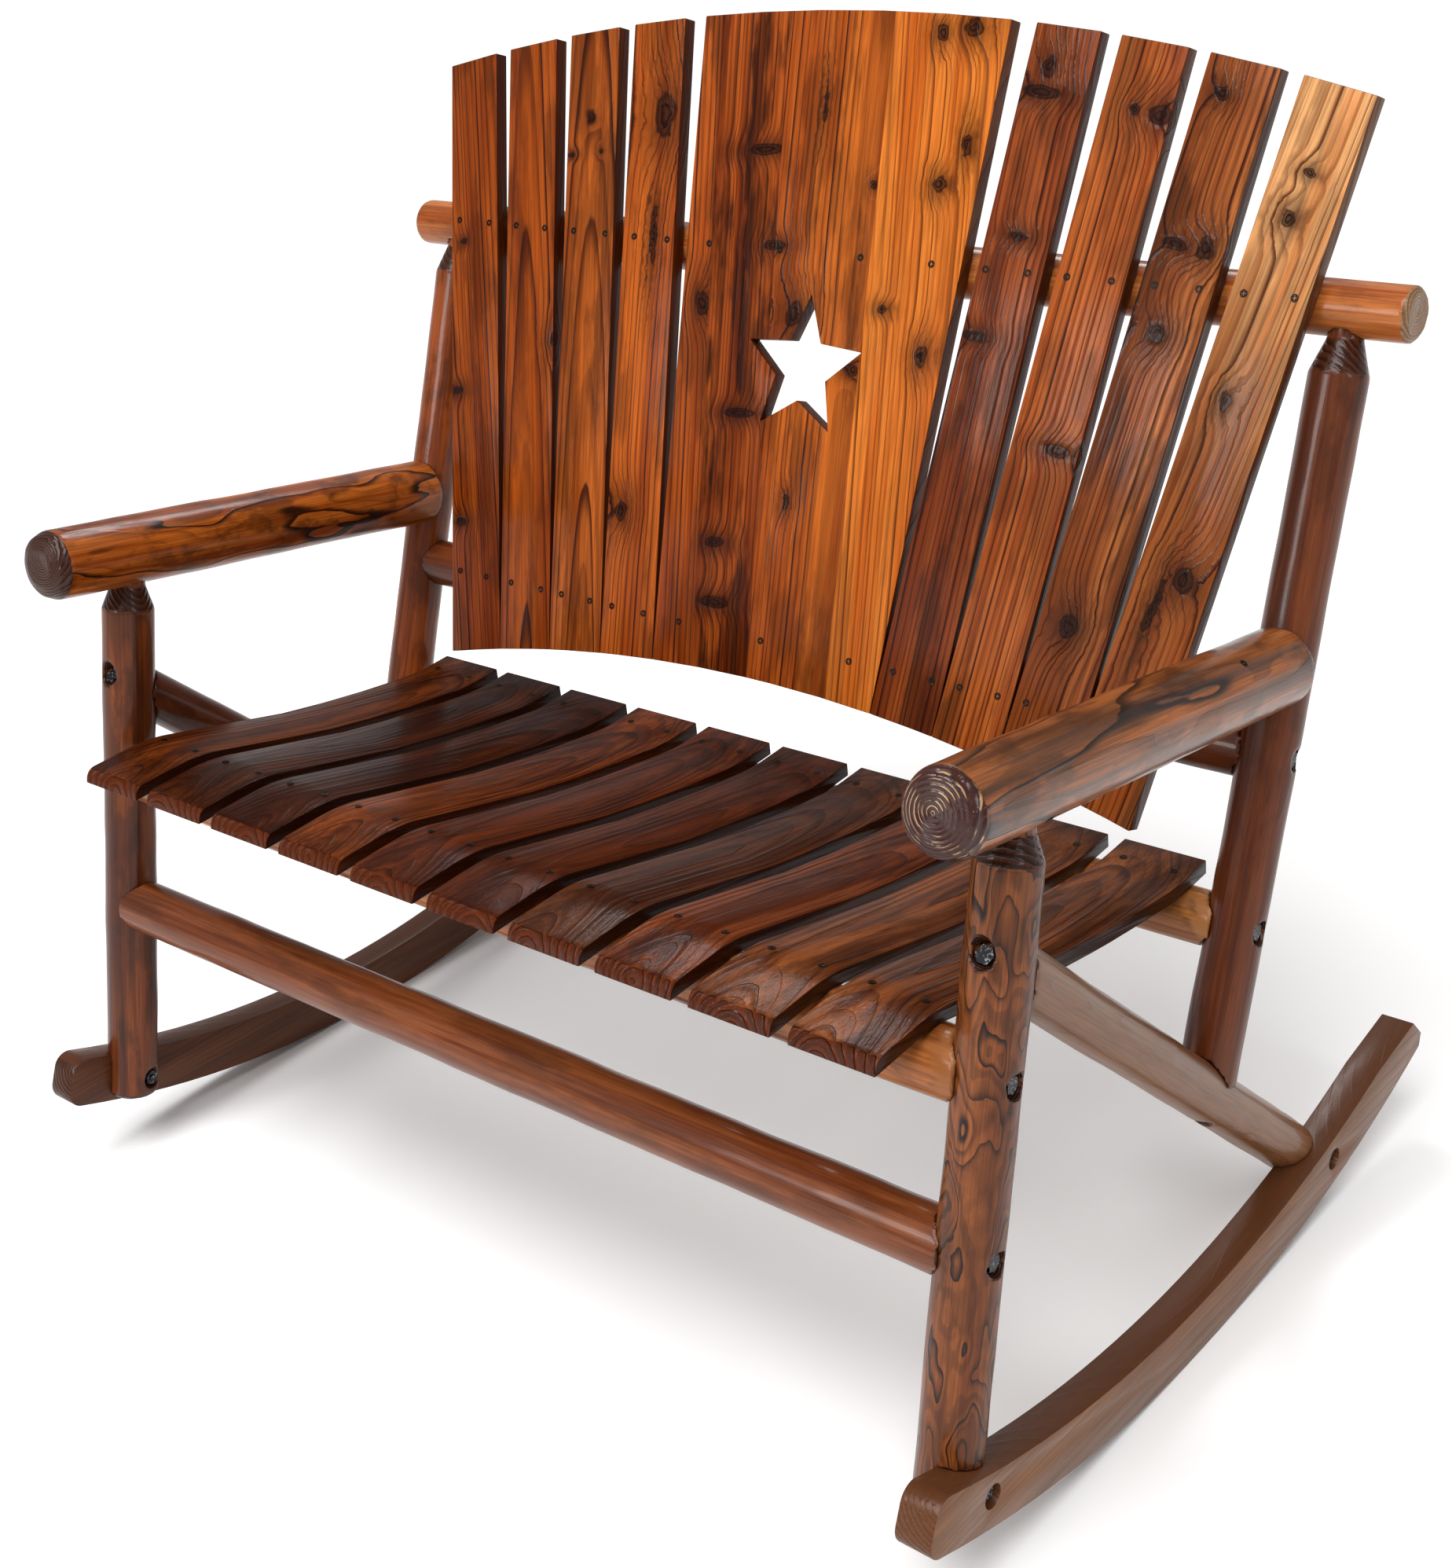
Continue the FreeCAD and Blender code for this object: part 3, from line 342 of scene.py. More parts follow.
knotGroup = makeKnotGroup()
grainGroup = makeGrainGroup()

# The woods' tones, and their sizes in millimetres; a piece may change any of these
#   spacing    width of a ring                      sway, wave  how far and how often the rings stray
#   stretch    how much slower that runs lengthwise ripple      small waves of the rings
#   onset      share of a ring where dark wood starts           lines  how dark that wood gets
#   char       how much soot                        relief      height of the brushed grain
#   ends, sides  how far cut ends and sawn sides take their own tones
#   fresh      distance from the middle beyond which the wood is pale and new
#   fade, deep   the run along the piece over which it deepens, and to what shares
woods = {
    "any": {"drift": (0.0, 0.0), "knots": (), "endFrom": 0.5, "endLines": 0.3, "endSpacing": 5.0,
            "endGlint": 0.0, "fresh": 9000.0, "fade": (-9000, -9001), "deep": (1, 1, 1),
            "end": (190, 150, 110), "side": (190, 150, 110), "pale": (190, 150, 110)},
    "back": {"light": (205, 116, 50), "body": (150, 74, 28), "dark": (52, 20, 8), "burnt": (30, 13, 8),
             "spacing": 6.5, "sway": 9.0, "wave": 11.0, "stretch": 0.09, "ripple": 2.2, "onset": 0.45,
             "lines": 0.95, "char": 0.5, "relief": 0.6, "ends": 0.0, "sides": 0.85,
             "side": (62, 30, 18), "gloss": 0.06, "coat": 0.12, "coatRoughness": 0.12},
    "seat": {"light": (112, 62, 34), "body": (74, 36, 19), "dark": (36, 17, 10), "burnt": (26, 14, 9),
             "spacing": 6.0, "sway": 14.0, "wave": 12.0, "stretch": 0.12, "ripple": 2.0, "onset": 0.3,
             "lines": 0.65, "char": 0.5, "relief": 0.8, "ends": 1.0, "end": (98, 50, 28),
             "endSpacing": 9.0, "sides": 0.8, "side": (40, 21, 13), "gloss": 0.04, "coat": 0.08,
             "coatRoughness": 0.12},
    "log": {"light": (160, 96, 54), "body": (104, 58, 33), "dark": (44, 24, 15), "burnt": (34, 19, 13),
            "spacing": 9.0, "sway": 85.0, "wave": 13.0, "stretch": 0.2, "ripple": 6.0, "onset": 0.5,
            "lines": 0.95, "char": 0.5, "relief": 0.3, "ends": 1.0, "end": (76, 44, 32),
            "endSpacing": 2.8, "endFrom": 0.2, "endLines": 0.8, "sides": 0.0, "gloss": 0.15,
            "coat": 0.3, "coatRoughness": 0.12},
    "sawn": {"light": (146, 108, 84), "body": (128, 92, 72), "dark": (92, 62, 46), "burnt": (72, 46, 34),
             "spacing": 7.0, "sway": 12.0, "wave": 8.0, "stretch": 0.1, "ripple": 2.0, "onset": 0.4,
             "lines": 0.35, "char": 0.25, "relief": 0.2, "ends": 1.0, "end": (110, 76, 58),
             "sides": 0.85, "side": (92, 60, 45), "gloss": 0.15, "coat": 0.15, "coatRoughness": 0.2},
}

tones = ("light", "body", "dark", "burnt", "end", "side", "pale")
lengths = ("spacing", "sway", "ripple", "endSpacing", "fresh")
shares = ("wave", "stretch", "onset", "lines", "char", "ends", "endFrom", "endLines", "endGlint", "sides")


def grainFrame(centre, axis, across):
    # the turn and shift that take a point of the bench into a piece's own u, v and w
    w = axis.normalized()
    v = w.cross(across).normalized()
    u = v.cross(w)
    turn = Matrix((u, v, w))
    return turn.to_euler("XYZ"), -(turn @ centre)


def socketOf(name):
    return name[0].upper() + name[1:]


def woodMaterial(name, centre, axis, across, look):
    # look: one of the woods, with what this piece changes in it
    material = bpy.data.materials.new(name)
    material.use_nodes = True
    tree = material.node_tree
    tree.nodes.clear()
    wire = Wiring(tree)
    turn, shift = grainFrame(centre, axis, across)
    place = wire.add("ShaderNodeTexCoord").outputs
    point = wire.add("ShaderNodeMapping", {"Vector": place["Object"], "Location": shift,
                                           "Rotation": turn}).outputs[0]
    facing = wire.add("ShaderNodeMapping", {"Vector": place["Normal"], "Rotation": turn},
                      vector_type="VECTOR").outputs[0]
    push = heart = stain = 0.0
    for u, v, w, size, length in look["knots"]:
        knot = wire.add("ShaderNodeGroup", node_tree=knotGroup)
        for socket, source in (("Point", point), ("Centre", (u * mm, v * mm, w * mm)),
                               ("Size", size * mm), ("Length", length)):
            wire.feed(knot.inputs[socket], source)
        push = wire.maths("ADD", push, knot.outputs["Push"])
        heart = wire.maths("MAXIMUM", heart, knot.outputs["Heart"])
        stain = wire.maths("MAXIMUM", stain, knot.outputs["Stain"])
    pithU, pithV = look["pith"]
    fadeFrom, fadeTo = look["fade"]
    seed = look["seed"]
    values = {
        "Point": point, "Facing": facing, "Push": push, "Heart": heart, "Stain": stain,
        "Seed": (seed, seed * 1.7, seed * 2.3), "Pith": (pithU * mm, pithV * mm, 0),
        "Drift": (*look["drift"], 0), "FadeFrom": fadeFrom * mm, "FadeTo": fadeTo * mm,
        "Deep": (*look["deep"], 1),
    }
    values |= {socketOf(name): look[name] for name in shares}
    values |= {socketOf(name): look[name] * mm for name in lengths}
    values |= {socketOf(name): stained(*look[name]) for name in tones}
    grain = wire.add("ShaderNodeGroup", node_tree=grainGroup)
    for socket, source in values.items():
        wire.feed(grain.inputs[socket], source)
    bump = wire.add("ShaderNodeBump", {"Height": grain.outputs["Height"], "Strength": look["relief"],
                                       "Distance": grainShape["reliefDepth"] * mm})
    shader = wire.add("ShaderNodeBsdfPrincipled", {
        "Base Color": grain.outputs["Colour"], "Roughness": grain.outputs["Gloss"],
        "Specular IOR Level": look["gloss"], "Normal": bump.outputs[0], "Coat Weight": look["coat"],
        "Coat Roughness": look["coatRoughness"], "Coat Normal": bump.outputs[0]})
    wire.add("ShaderNodeOutputMaterial", {"Surface": shader.outputs[0]})
    return material


# Working on meshes

def nothing():
    bpy.ops.object.select_all(action="DESELECT")


def only(thing):
    # make the thing the one selected, active object
    nothing()
    thing.select_set(True)
    bpy.context.view_layer.objects.active = thing


def edit(thing):
    only(thing)
    bpy.ops.object.mode_set(mode="EDIT")
    bpy.ops.mesh.select_all(action="SELECT")


def done():
    bpy.ops.object.mode_set(mode="OBJECT")


def copyOf(node, name):
    # a copy of a solid's mesh with its loose triangles joined up
    source = nodes[node]
    piece = bpy.data.objects.new(name, source.data.copy())
    bpy.context.scene.collection.objects.link(piece)
    piece.data.materials.clear()
    edit(piece)
    bpy.ops.mesh.customdata_custom_splitnormals_clear()
    bpy.ops.mesh.remove_doubles(threshold=0.01 * mm)
    done()
    return piece


def addModifier(piece, kind, **settings):
    modifier = piece.modifiers.new(kind.lower(), kind)
    for name, setting in settings.items():
        setattr(modifier, name, setting)
    return modifier


def applyModifiers(piece):
    only(piece)
    for modifier in list(piece.modifiers):
        bpy.ops.object.modifier_apply(modifier=modifier.name)


def smooth(piece, degrees):
    only(piece)
    bpy.ops.object.shade_smooth_by_angle(angle=math.radians(degrees))


boards = {
    "flatness": 1.0,       # degrees within which triangles of a flat face are joined
    "roundness": 1.2,      # millimetres of wear on the boards' edges
    "wearSteps": 2,
    "wornFrom": 35,        # degrees by which an edge turns if it is worn
    "rollSteps": 4,
    "softUnder": 30,       # degrees below which an edge is shaded smooth
}


def rollEdges(piece, sharpest, bluntest, reach):
    # round the edges that turn by an angle between the two
    facing = {}
    for face in piece.data.polygons:
        for key in face.edge_keys:
            facing.setdefault(key, []).append(face.normal.copy())
    edit(piece)
    bpy.ops.mesh.select_mode(type="EDGE")
    bpy.ops.mesh.select_all(action="DESELECT")
    done()
    for edge in piece.data.edges:
        turn = math.degrees(facing[edge.key][0].angle(facing[edge.key][1]))
        edge.select = bluntest < turn < sharpest
    bpy.ops.object.mode_set(mode="EDIT")
    bpy.ops.mesh.bevel(offset=reach * mm, segments=boards["rollSteps"], affect="EDGES")
    bpy.ops.mesh.select_mode(type="VERT")
    done()


def board(node, rolls=()):
    # a sawn board: its solid with worn edges
    piece = copyOf(node, node + "_board")
    edit(piece)
    bpy.ops.mesh.dissolve_limited(angle_limit=math.radians(boards["flatness"]))
    done()
    for roll in rolls:
        rollEdges(piece, *roll)
    addModifier(piece, "BEVEL", width=boards["roundness"] * mm, segments=boards["wearSteps"],
                limit_method="ANGLE", angle_limit=math.radians(boards["wornFrom"]),
                harden_normals=False)
    applyModifiers(piece)
    smooth(piece, boards["softUnder"])
    return piece


logs = {
    "grit": 2.5,           # millimetres between the points of a log's skin
    "smoothing": 2,
    "softness": 0.5,
    "waviness": 2.2,       # millimetres from the lowest to the highest of its waves
    "waveLength": 0.09,
    "softUnder": 60,
}


def turnedLog(node):
    # a log: its solid with soft edges and a slightly uneven skin
    piece = copyOf(node, node + "_log")
    addModifier(piece, "REMESH", mode="VOXEL", voxel_size=logs["grit"] * mm)
    addModifier(piece, "SMOOTH", factor=logs["softness"], iterations=logs["smoothing"])
    waves = bpy.data.textures.new(node + "_waves", "CLOUDS")
    waves.noise_scale = logs["waveLength"]
    waves.noise_depth = 1
    addModifier(piece, "DISPLACE", texture=waves, strength=logs["waviness"] * mm, mid_level=0.5)
    applyModifiers(piece)
    bpy.data.textures.remove(waves)
    smooth(piece, logs["softUnder"])
    return piece


def finishPiece(piece, slotName, *materials):
    piece.data.materials.clear()
    for material in materials:
        piece.data.materials.append(material)
    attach(piece, "root")


def looked(wood, changes):
    return {**woods["any"], **woods[wood], **changes}


# Logs

uprights = {
    "front_leg_left": ("bench", {"seed": 3.1, "pith": (6, 4), "drift": (0.01, 0.0),
                                 "light": (134, 76, 42), "body": (80, 42, 25), "dark": (40, 20, 13),
                                 "spacing": 16.0}),
    "front_leg_right": ("bench", {"seed": 8.4, "pith": (-5, 6), "drift": (0.012, 0.01),
                                  "light": (152, 94, 56), "body": (112, 64, 36), "dark": (30, 17, 12),
                                  "char": 0.3, "relief": 0.4, "spacing": 6.0, "sway": 100.0, "wave": 22.0,
                                  "stretch": 0.32, "ripple": 6.0, "onset": 0.25, "lines": 1.0,
                                  "knots": ((-10, -30, -75, 5, 4.0),)}),
    "rear_post_left": ("post", {"seed": 12.6, "pith": (3, -4), "light": (170, 92, 44),
                                "body": (108, 52, 25), "dark": (60, 28, 16), "lines": 0.5,
                                "spacing": 18.0}),
    "rear_post_right": ("post", {"seed": 17.3, "pith": (4, 3), "light": (116, 66, 42),
                                 "body": (82, 43, 27), "dark": (52, 28, 19), "char": 0.4, "lines": 0.35,
                                 "spacing": 22.0}),
    "armrest_left": ("armrest", {"seed": 21.9, "pith": (8, -6), "drift": (0.01, 0.012), "spacing": 8.0,
                                 "light": (214, 128, 56), "body": (154, 78, 26), "dark": (28, 14, 8),
                                 "char": 0.6, "stretch": 0.26, "onset": 0.4, "wave": 14.0, "lines": 1.0}),
    # its pale tone here is the colour of the glints painted on the rings of its cut end, a painted
    # highlight
    "armrest_right": ("armrest", {"seed": 26.2, "pith": (2, -3), "drift": (0.008, 0.004),
                                  "spacing": 10.0, "light": (184, 114, 62), "body": (104, 70, 52),
                                  "dark": (34, 22, 18), "burnt": (40, 28, 23), "char": 0.6,
                                  "stretch": 0.18, "onset": 0.4, "lines": 1.0, "relief": 0.5,
                                  "coat": 0.6, "end": (70, 30, 25), "endSpacing": 4.2,
                                  "endLines": 0.5, "endGlint": 0.9, "pale": (236, 208, 176)}),
    "side_brace_left": ("brace", {"seed": 31.7, "pith": (3, 3), "light": (110, 62, 40),
                                  "body": (88, 47, 30), "lines": 0.35}),
    "side_brace_right": ("brace", {"seed": 35.2, "pith": (-3, 3), "light": (144, 108, 84),
                                   "body": (128, 92, 70), "dark": (98, 68, 50), "burnt": (84, 56, 42),
                                   "lines": 0.25, "char": 0.15}),
}

crossings = {
    "crest_rail": {"seed": 41.3, "pith": (4, 3), "light": (214, 140, 84), "body": (166, 90, 46),
                   "dark": (96, 48, 26), "lines": 0.4, "char": 0.35, "spacing": 20.0,
                   "end": (160, 132, 112), "endLines": 0.5},
    "lower_back_rail": {"seed": 45.9, "pith": (3, -4), "body": (92, 48, 28), "light": (126, 70, 42),
                        "lines": 0.5, "spacing": 18.0},
    "front_seat_rail": {"seed": 50.1, "pith": (5, 3), "light": (196, 128, 78), "body": (134, 80, 48),
                        "lines": 0.4, "fresh": 549.0, "pale": (164, 110, 70)},
    "rear_seat_rail": {"seed": 55.8, "pith": (-4, 3), "light": (206, 146, 98), "body": (150, 94, 60),
                       "lines": 0.4, "fresh": 551.0, "pale": (190, 138, 94)},
    "front_stretcher": {"seed": 60.4, "pith": (3, 5), "light": (146, 90, 60), "body": (106, 58, 35),
                        "dark": (66, 34, 22), "lines": 0.35, "char": 0.4, "stretch": 0.1,
                        "spacing": 22.0, "knots": ((2, -30, 400, 8, 1.5),)},
}


def makeLogs():
    for node, (stance, changes) in uprights.items():
        slotName = "brace_wood" if stance == "brace" else "log_wood"
        piece = turnedLog(node)
        material = woodMaterial(node + "_grain", middle(node), direction(lean[stance]), right,
                                looked("log", changes))
        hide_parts(node)
        finishPiece(piece, slotName, material)
    for node, changes in crossings.items():
        piece = turnedLog(node)
        material = woodMaterial(node + "_grain", middle(node), right, direction(lean["bench"]),
                                looked("log", changes))
        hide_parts(node)
        finishPiece(piece, "log_wood", material)
    print("logs made")


rockers = {
    "left": {"seed": 71.2, "pith": (60, 20), "light": (116, 74, 52), "body": (90, 56, 40),
             "dark": (54, 33, 24), "side": (86, 54, 38), "end": (70, 42, 30)},
    "right": {"seed": 76.8, "pith": (80, 30)},
}


def makeRockers():
    upward = direction(lean["rocker"] - 90)
    for side, changes in rockers.items():
        node = "rocker_" + side
        piece = board(node)
        material = woodMaterial(node + "_grain", middle(node), direction(lean["rocker"]), upward,
                                looked("sawn", changes))
        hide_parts(node)
        finishPiece(piece, "rocker_wood", material)
    print("rockers made")


# Seat

seat = {
    "slats": 10,
    # edges to round: the degrees they turn by, at most and at least, and millimetres each way
    "rolls": ((20, 10, 22), (45, 30, 4.2)),
    "tones": {
        1: {"light": (120, 66, 34), "body": (76, 38, 19)},
        2: {"light": (82, 45, 26), "body": (54, 28, 16)},
        3: {"light": (78, 40, 21), "body": (54, 27, 15)},
        4: {"light": (142, 76, 34), "body": (80, 38, 17)},
        5: {"light": (108, 54, 25), "body": (72, 34, 16)},
        6: {"light": (96, 48, 23), "body": (72, 35, 17), "lines": 0.5},
        7: {"light": (98, 58, 36), "body": (66, 36, 21), "relief": 1.0, "coat": 0.18},
        8: {"light": (136, 74, 42), "body": (84, 41, 22), "sway": 24.0, "relief": 1.0, "coat": 0.18},
        9: {"light": (150, 92, 58), "body": (90, 50, 30), "sway": 30.0, "spacing": 7.5, "relief": 1.1,
            "coat": 0.22},
        10: {"light": (146, 90, 58), "body": (88, 50, 31), "relief": 1.1, "coat": 0.22},
    },
}


def makeSeat():
    for number in range(1, seat["slats"] + 1):
        node = f"seat_slat_{number:02d}"
        piece = board(node, seat["rolls"])
        changes = {"seed": 80 + 3.7 * number,
                   "pith": (18 * math.sin(2.4 * number), 30 + 3 * (number % 4)),
                   "drift": (0.02 * math.sin(number), 0.03 * math.cos(1.7 * number))}
        material = woodMaterial(node + "_grain", middle(node), direction(lean["slat"]), right,
                                looked("seat", {**changes, **seat["tones"][number]}))
        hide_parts(node)
        finishPiece(piece, "seat_wood", material)
    print("seat made")


# Back.  A knot is given by its millimetres across, through and up its board, its size, and its length
# in sizes; a short wide one is a bar of char, and a long slim one a streak

fan = {
    "left_1": {"seed": 133.5, "pith": (60, 24), "light": (212, 116, 50), "body": (164, 80, 32),
               "knots": ((9, -9, 260, 17, 1.8), (3, -9, 125, 6, 6.0), (-17, -9, -194, 11, 1.3))},
    "left_2": {"seed": 129.2, "pith": (4, 28), "drift": (0.0, 0.05), "light": (200, 112, 52),
               "body": (146, 76, 32), "dark": (62, 28, 12),
               "knots": ((0, -9, 264, 5, 1.2), (15, -9, 226, 4, 1.0), (-31, -9, 224, 7, 0.5))},
    "left_3": {"seed": 124.9, "pith": (-6, 30), "drift": (0.01, 0.035), "light": (182, 96, 38),
               "body": (146, 70, 24), "knots": ((40, -9, 12, 8, 1.5),)},
    "left_4": {"seed": 120.3, "pith": (70, 20), "light": (168, 88, 34), "body": (132, 60, 19),
               "knots": ((-11, -9, 145, 7, 0.7), (-33, -9, -37, 11, 0.6), (-38, -9, -199, 11, 0.6))},
    "right_1": {"seed": 138.1, "pith": (70, 20), "light": (176, 98, 56), "body": (128, 62, 32),
                "char": 0.6, "coat": 0.25, "relief": 1.0,
                "knots": ((-3, -9, 324, 10, 1.3), (-4, -9, 299, 26, 0.3), (5, -9, 156, 12, 0.5),
                          (-20, -9, 51, 18, 0.35))},
    "right_2": {"seed": 142.7, "pith": (-60, 20), "light": (204, 120, 66), "body": (160, 80, 38),
                "coat": 0.25, "relief": 1.0,
                "knots": ((-2, -9, 298, 7, 1.0), (26, -9, 297, 14, 0.8), (17, -9, -39, 20, 0.4))},
    "right_3": {"seed": 147.4, "pith": (64, 30), "light": (196, 124, 76), "body": (142, 78, 42),
                "char": 0.7, "sway": 12.0, "coat": 0.25, "relief": 1.0,
                "knots": ((-23, -9, 329, 8, 1.0), (13, -9, 190, 10, 1.2), (-20, -9, 186, 18, 0.4),
                          (-8, -9, 100, 11, 1.0), (3, -9, -199, 12, 1.2))},
    # these pale light and body tones paint a sheen over the upper part of this slat's wood; the fade
    # darkens it towards the bottom
    "right_4": {"seed": 151.8, "pith": (-50, 36), "light": (252, 202, 158), "body": (236, 166, 116),
                "dark": (110, 60, 34), "char": 0.35, "sway": 14.0, "coat": 0.2,
                "fade": (300, -60), "deep": (0.44, 0.26, 0.14),
                "knots": ((-20, -9, 238, 9, 1.2), (-17, -9, 282, 8, 0.7), (-10, -9, 61, 8, 1.5),
                          (18, -9, -111, 13, 1.1), (0, -9, -150, 6, 6.0))},
}

# The middle panel is glued up of boards.  Each glue line passes its place at mid height and slants.
# The boards' knots are given by their places on the upright panel
panel = {
    "glueLines": (-135, -48, 75),
    "slant": (-0.11, -0.09, -0.05),
    "boards": (
        {"seed": 160.2, "pith": (-210, 20), "light": (196, 104, 46), "body": (160, 76, 29), "char": 0.5,
         "knots": ((-150, -9, 45, 12, 1.2),)},
        {"seed": 164.7, "pith": (-260, 22), "light": (186, 98, 42), "body": (130, 60, 23), "char": 0.85,
         "knots": ((-89, -9, 218, 30, 0.25), (-60, -9, 116, 18, 0.35), (-77, -9, -71, 26, 0.25),
                   (-75, -9, -286, 26, 0.3), (-87, -9, -219, 16, 0.45))},
        {"seed": 169.1, "pith": (60, 24), "light": (212, 120, 54), "body": (172, 88, 37), "char": 0.55,
         "knots": ((-16, -9, 269, 4, 6.0), (-60, -9, 116, 18, 0.35), (-20, -9, 44, 14, 1.2),
                   (68, -9, -7, 10, 0.8), (60, -9, 188, 5, 1.2), (5, -9, -160, 6, 1.6))},
        {"seed": 173.8, "pith": (40, 34), "drift": (0.0, 0.05), "light": (238, 146, 68),
         "body": (208, 112, 44), "dark": (86, 40, 18), "char": 0.2, "lines": 0.85,
         "knots": ((156, -9, 351, 12, 1.0), (119, -9, 345, 8, 1.2), (142, -9, 192, 9, 1.1),
                   (168, -9, 233, 6, 2.2), (151, -9, 17, 9, 1.4), (95, -9, 60, 8, 0.7))},
    ),
}


fanLean = {"first": 1.5, "step": 2.9}   # degrees


def fanTilt(name):
    # how far a slat of the fan leans aside
    side = -1 if "left" in name else 1
    return math.radians(side * (fanLean["first"] + fanLean["step"] * int(name[-1])))


def leanAside(tilt):
    # the way up and the way across a board of the back that leans aside
    up = direction(lean["back"])
    return up * math.cos(tilt) + right * math.sin(tilt), right * math.cos(tilt) - up * math.sin(tilt)


def turnedKnots(knots, tilt):
    # knots placed on the upright panel, in the frame of a board that leans aside
    sine, cosine = math.sin(tilt), math.cos(tilt)
    return [(u * cosine - w * sine, v, u * sine + w * cosine, size, length)
            for u, v, w, size, length in knots]


def makePanel():
    piece = board("back_panel")
    centre = middle("back_panel")
    up = direction(lean["back"])
    cuts = []
    for place, slant in zip(panel["glueLines"], panel["slant"]):
        along, across = leanAside(math.atan(slant))
        point = centre + right * place * mm
        edit(piece)
        bpy.ops.mesh.bisect(plane_co=point, plane_no=across)
        done()
        cuts.append((point, across))
    materials = []
    slants = (*panel["slant"], panel["slant"][-1])
    for number, look in enumerate(panel["boards"]):
        tilt = math.atan(slants[number])
        along, across = leanAside(tilt)
        changes = {**look, "knots": turnedKnots(look["knots"], tilt)}
        materials.append(woodMaterial(f"panel_board_{number + 1}", centre, along, across,
                                      looked("back", changes)))
    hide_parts("back_panel")
    finishPiece(piece, "back_wood", *materials)
    for face in piece.data.polygons:
        face.material_index = sum((face.center - point).dot(across) > 0 for point, across in cuts)


def makeBack():
    for name, changes in fan.items():
        node = "back_slat_" + name
        piece = board(node)
        along, across = leanAside(fanTilt(name))
        material = woodMaterial(node + "_grain", middle(node), along, across, looked("back", changes))
        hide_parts(node)
        finishPiece(piece, "back_wood", material)
    makePanel()
    print("back made")


# Bolts and screws

steels = {
    "black_oxide_steel": {"dull": (46, 46, 50), "bright": (150, 148, 146), "wearFrom": 0.52},
    "screw_steel": {"dull": (38, 34, 32), "bright": (120, 114, 106), "wearFrom": 0.58},
    "wearScale": 380.0,        # patches of wear per metre
    "wearRun": 0.15,
    "roughness": (0.3, 0.55),
    "metallic": 0.9,
}


def steelMaterial(name):
    finish = steels[name]
    steel = bpy.data.materials.new(name)
    steel.use_nodes = True
    wire = Wiring(steel.node_tree)
    shader = steel.node_tree.nodes["Principled BSDF"]
    place = wire.add("ShaderNodeTexCoord").outputs["Object"]
    wear = wire.noise(place, steels["wearScale"], 4.0, 0.6)
    share = wire.ease(wear, finish["wearFrom"], finish["wearFrom"] + steels["wearRun"])
    wire.feed(shader.inputs["Base Color"],
              wire.mix(share, tone(*finish["dull"]), tone(*finish["bright"])))
    wire.feed(shader.inputs["Roughness"], wire.ease(wear, 0.3, 0.7, *steels["roughness"]))
    shader.inputs["Metallic"].default_value = steels["metallic"]
    return steel


def makeBolts():
    steel = steelMaterial("black_oxide_steel")
    for node in ("rocker_bolts", "rocker_nuts", "rail_lag_bolts", "brace_lag_bolts", "post_lag_bolts"):
        piece = nodes[node]
        piece.data.materials.clear()
        piece.data.materials.append(steel)
    print("bolts made")


screws = {
    "headSides": 12,
    "headRadius": 3.9,
    "headDepth": 2.0,
    "proud": 0.5,          # millimetres that a head stands out of the wood
    "slotLength": 4.6,
    "slotWidth": 1.1,
    "slotDepth": 1.2,
}

# Where the heads sit, in millimetres from the pieces that they hold
backRows = {
    "faceReach": 47.25,    # from the lower rail's axis to the boards' face
    "upper": {"rise": 430.3, "panel": (-151, -51, 57, 147),
              "slats": (213, 263, 308, 358, 405, 452, 498, 549)},
    "lower": {"rise": 2.3, "panel": (-122, -3, 118),
              "slats": (176, 225, 260, 306, 340, 390, 433, 478)},
}
seatRows = {
    "front_seat_rail": {"lean": lean["bench"], "rise": 48},
    "rear_seat_rail": {"lean": lean["bench"] - 15, "rise": 44},
}
seatSpacing = {"pitch": 109.3, "pair": 28}   # from slat to slat, and from a slat's middle to a screw
armrestRows = {
    "axis": (-283, 730.3),     # a point of the armrests' axes, back and up
    "side": 585.5,
    "radius": 39.5,
    "places": ((345.5, 55), (7, -43.5)),   # along from that point, and degrees up from the outside
}


def makeScrewHead():
    # a small round head with a cross recess, its top at the origin
    nothing()
    bpy.ops.mesh.primitive_cylinder_add(vertices=screws["headSides"], radius=screws["headRadius"] * mm,
                                        depth=screws["headDepth"] * mm,
                                        location=(0, 0, -screws["headDepth"] / 2 * mm))
    head = bpy.context.object
    head.name = "screw_pattern"
    bpy.ops.object.transform_apply(location=True)
    nothing()
    for turn in (0, 90):
        bpy.ops.mesh.primitive_cube_add(size=1, location=(0, 0, 0), rotation=(0, 0, math.radians(turn)),
                                        scale=(screws["slotLength"] * mm, screws["slotWidth"] * mm,
                                               2 * screws["slotDepth"] * mm))
        blade = bpy.context.object
        cutting = head.modifiers.new("slot", "BOOLEAN")
        cutting.object = blade
        cutting.operation = "DIFFERENCE"
        only(head)
        bpy.ops.object.modifier_apply(modifier=cutting.name)
        bpy.data.objects.remove(blade)
    return head


def screwGroup(name, pattern, seats, steel):
    # copies of the head, each at its place and facing its way, joined in one piece
    copies = []
    for place, way in seats:
        turn = way.to_track_quat("Z", "Y").to_matrix().to_4x4()
        copy = bpy.data.objects.new(name + "_copy", pattern.data.copy())
        copy.data.transform(Matrix.Translation(place + way * screws["proud"] * mm) @ turn)
        bpy.context.scene.collection.objects.link(copy)
        copies.append(copy)
    nothing()
    for copy in copies:
        copy.select_set(True)
    bpy.context.view_layer.objects.active = copies[0]
    bpy.ops.object.join()
    piece = bpy.context.object
    piece.name = name
    finishPiece(piece, "bolt_steel", steel)


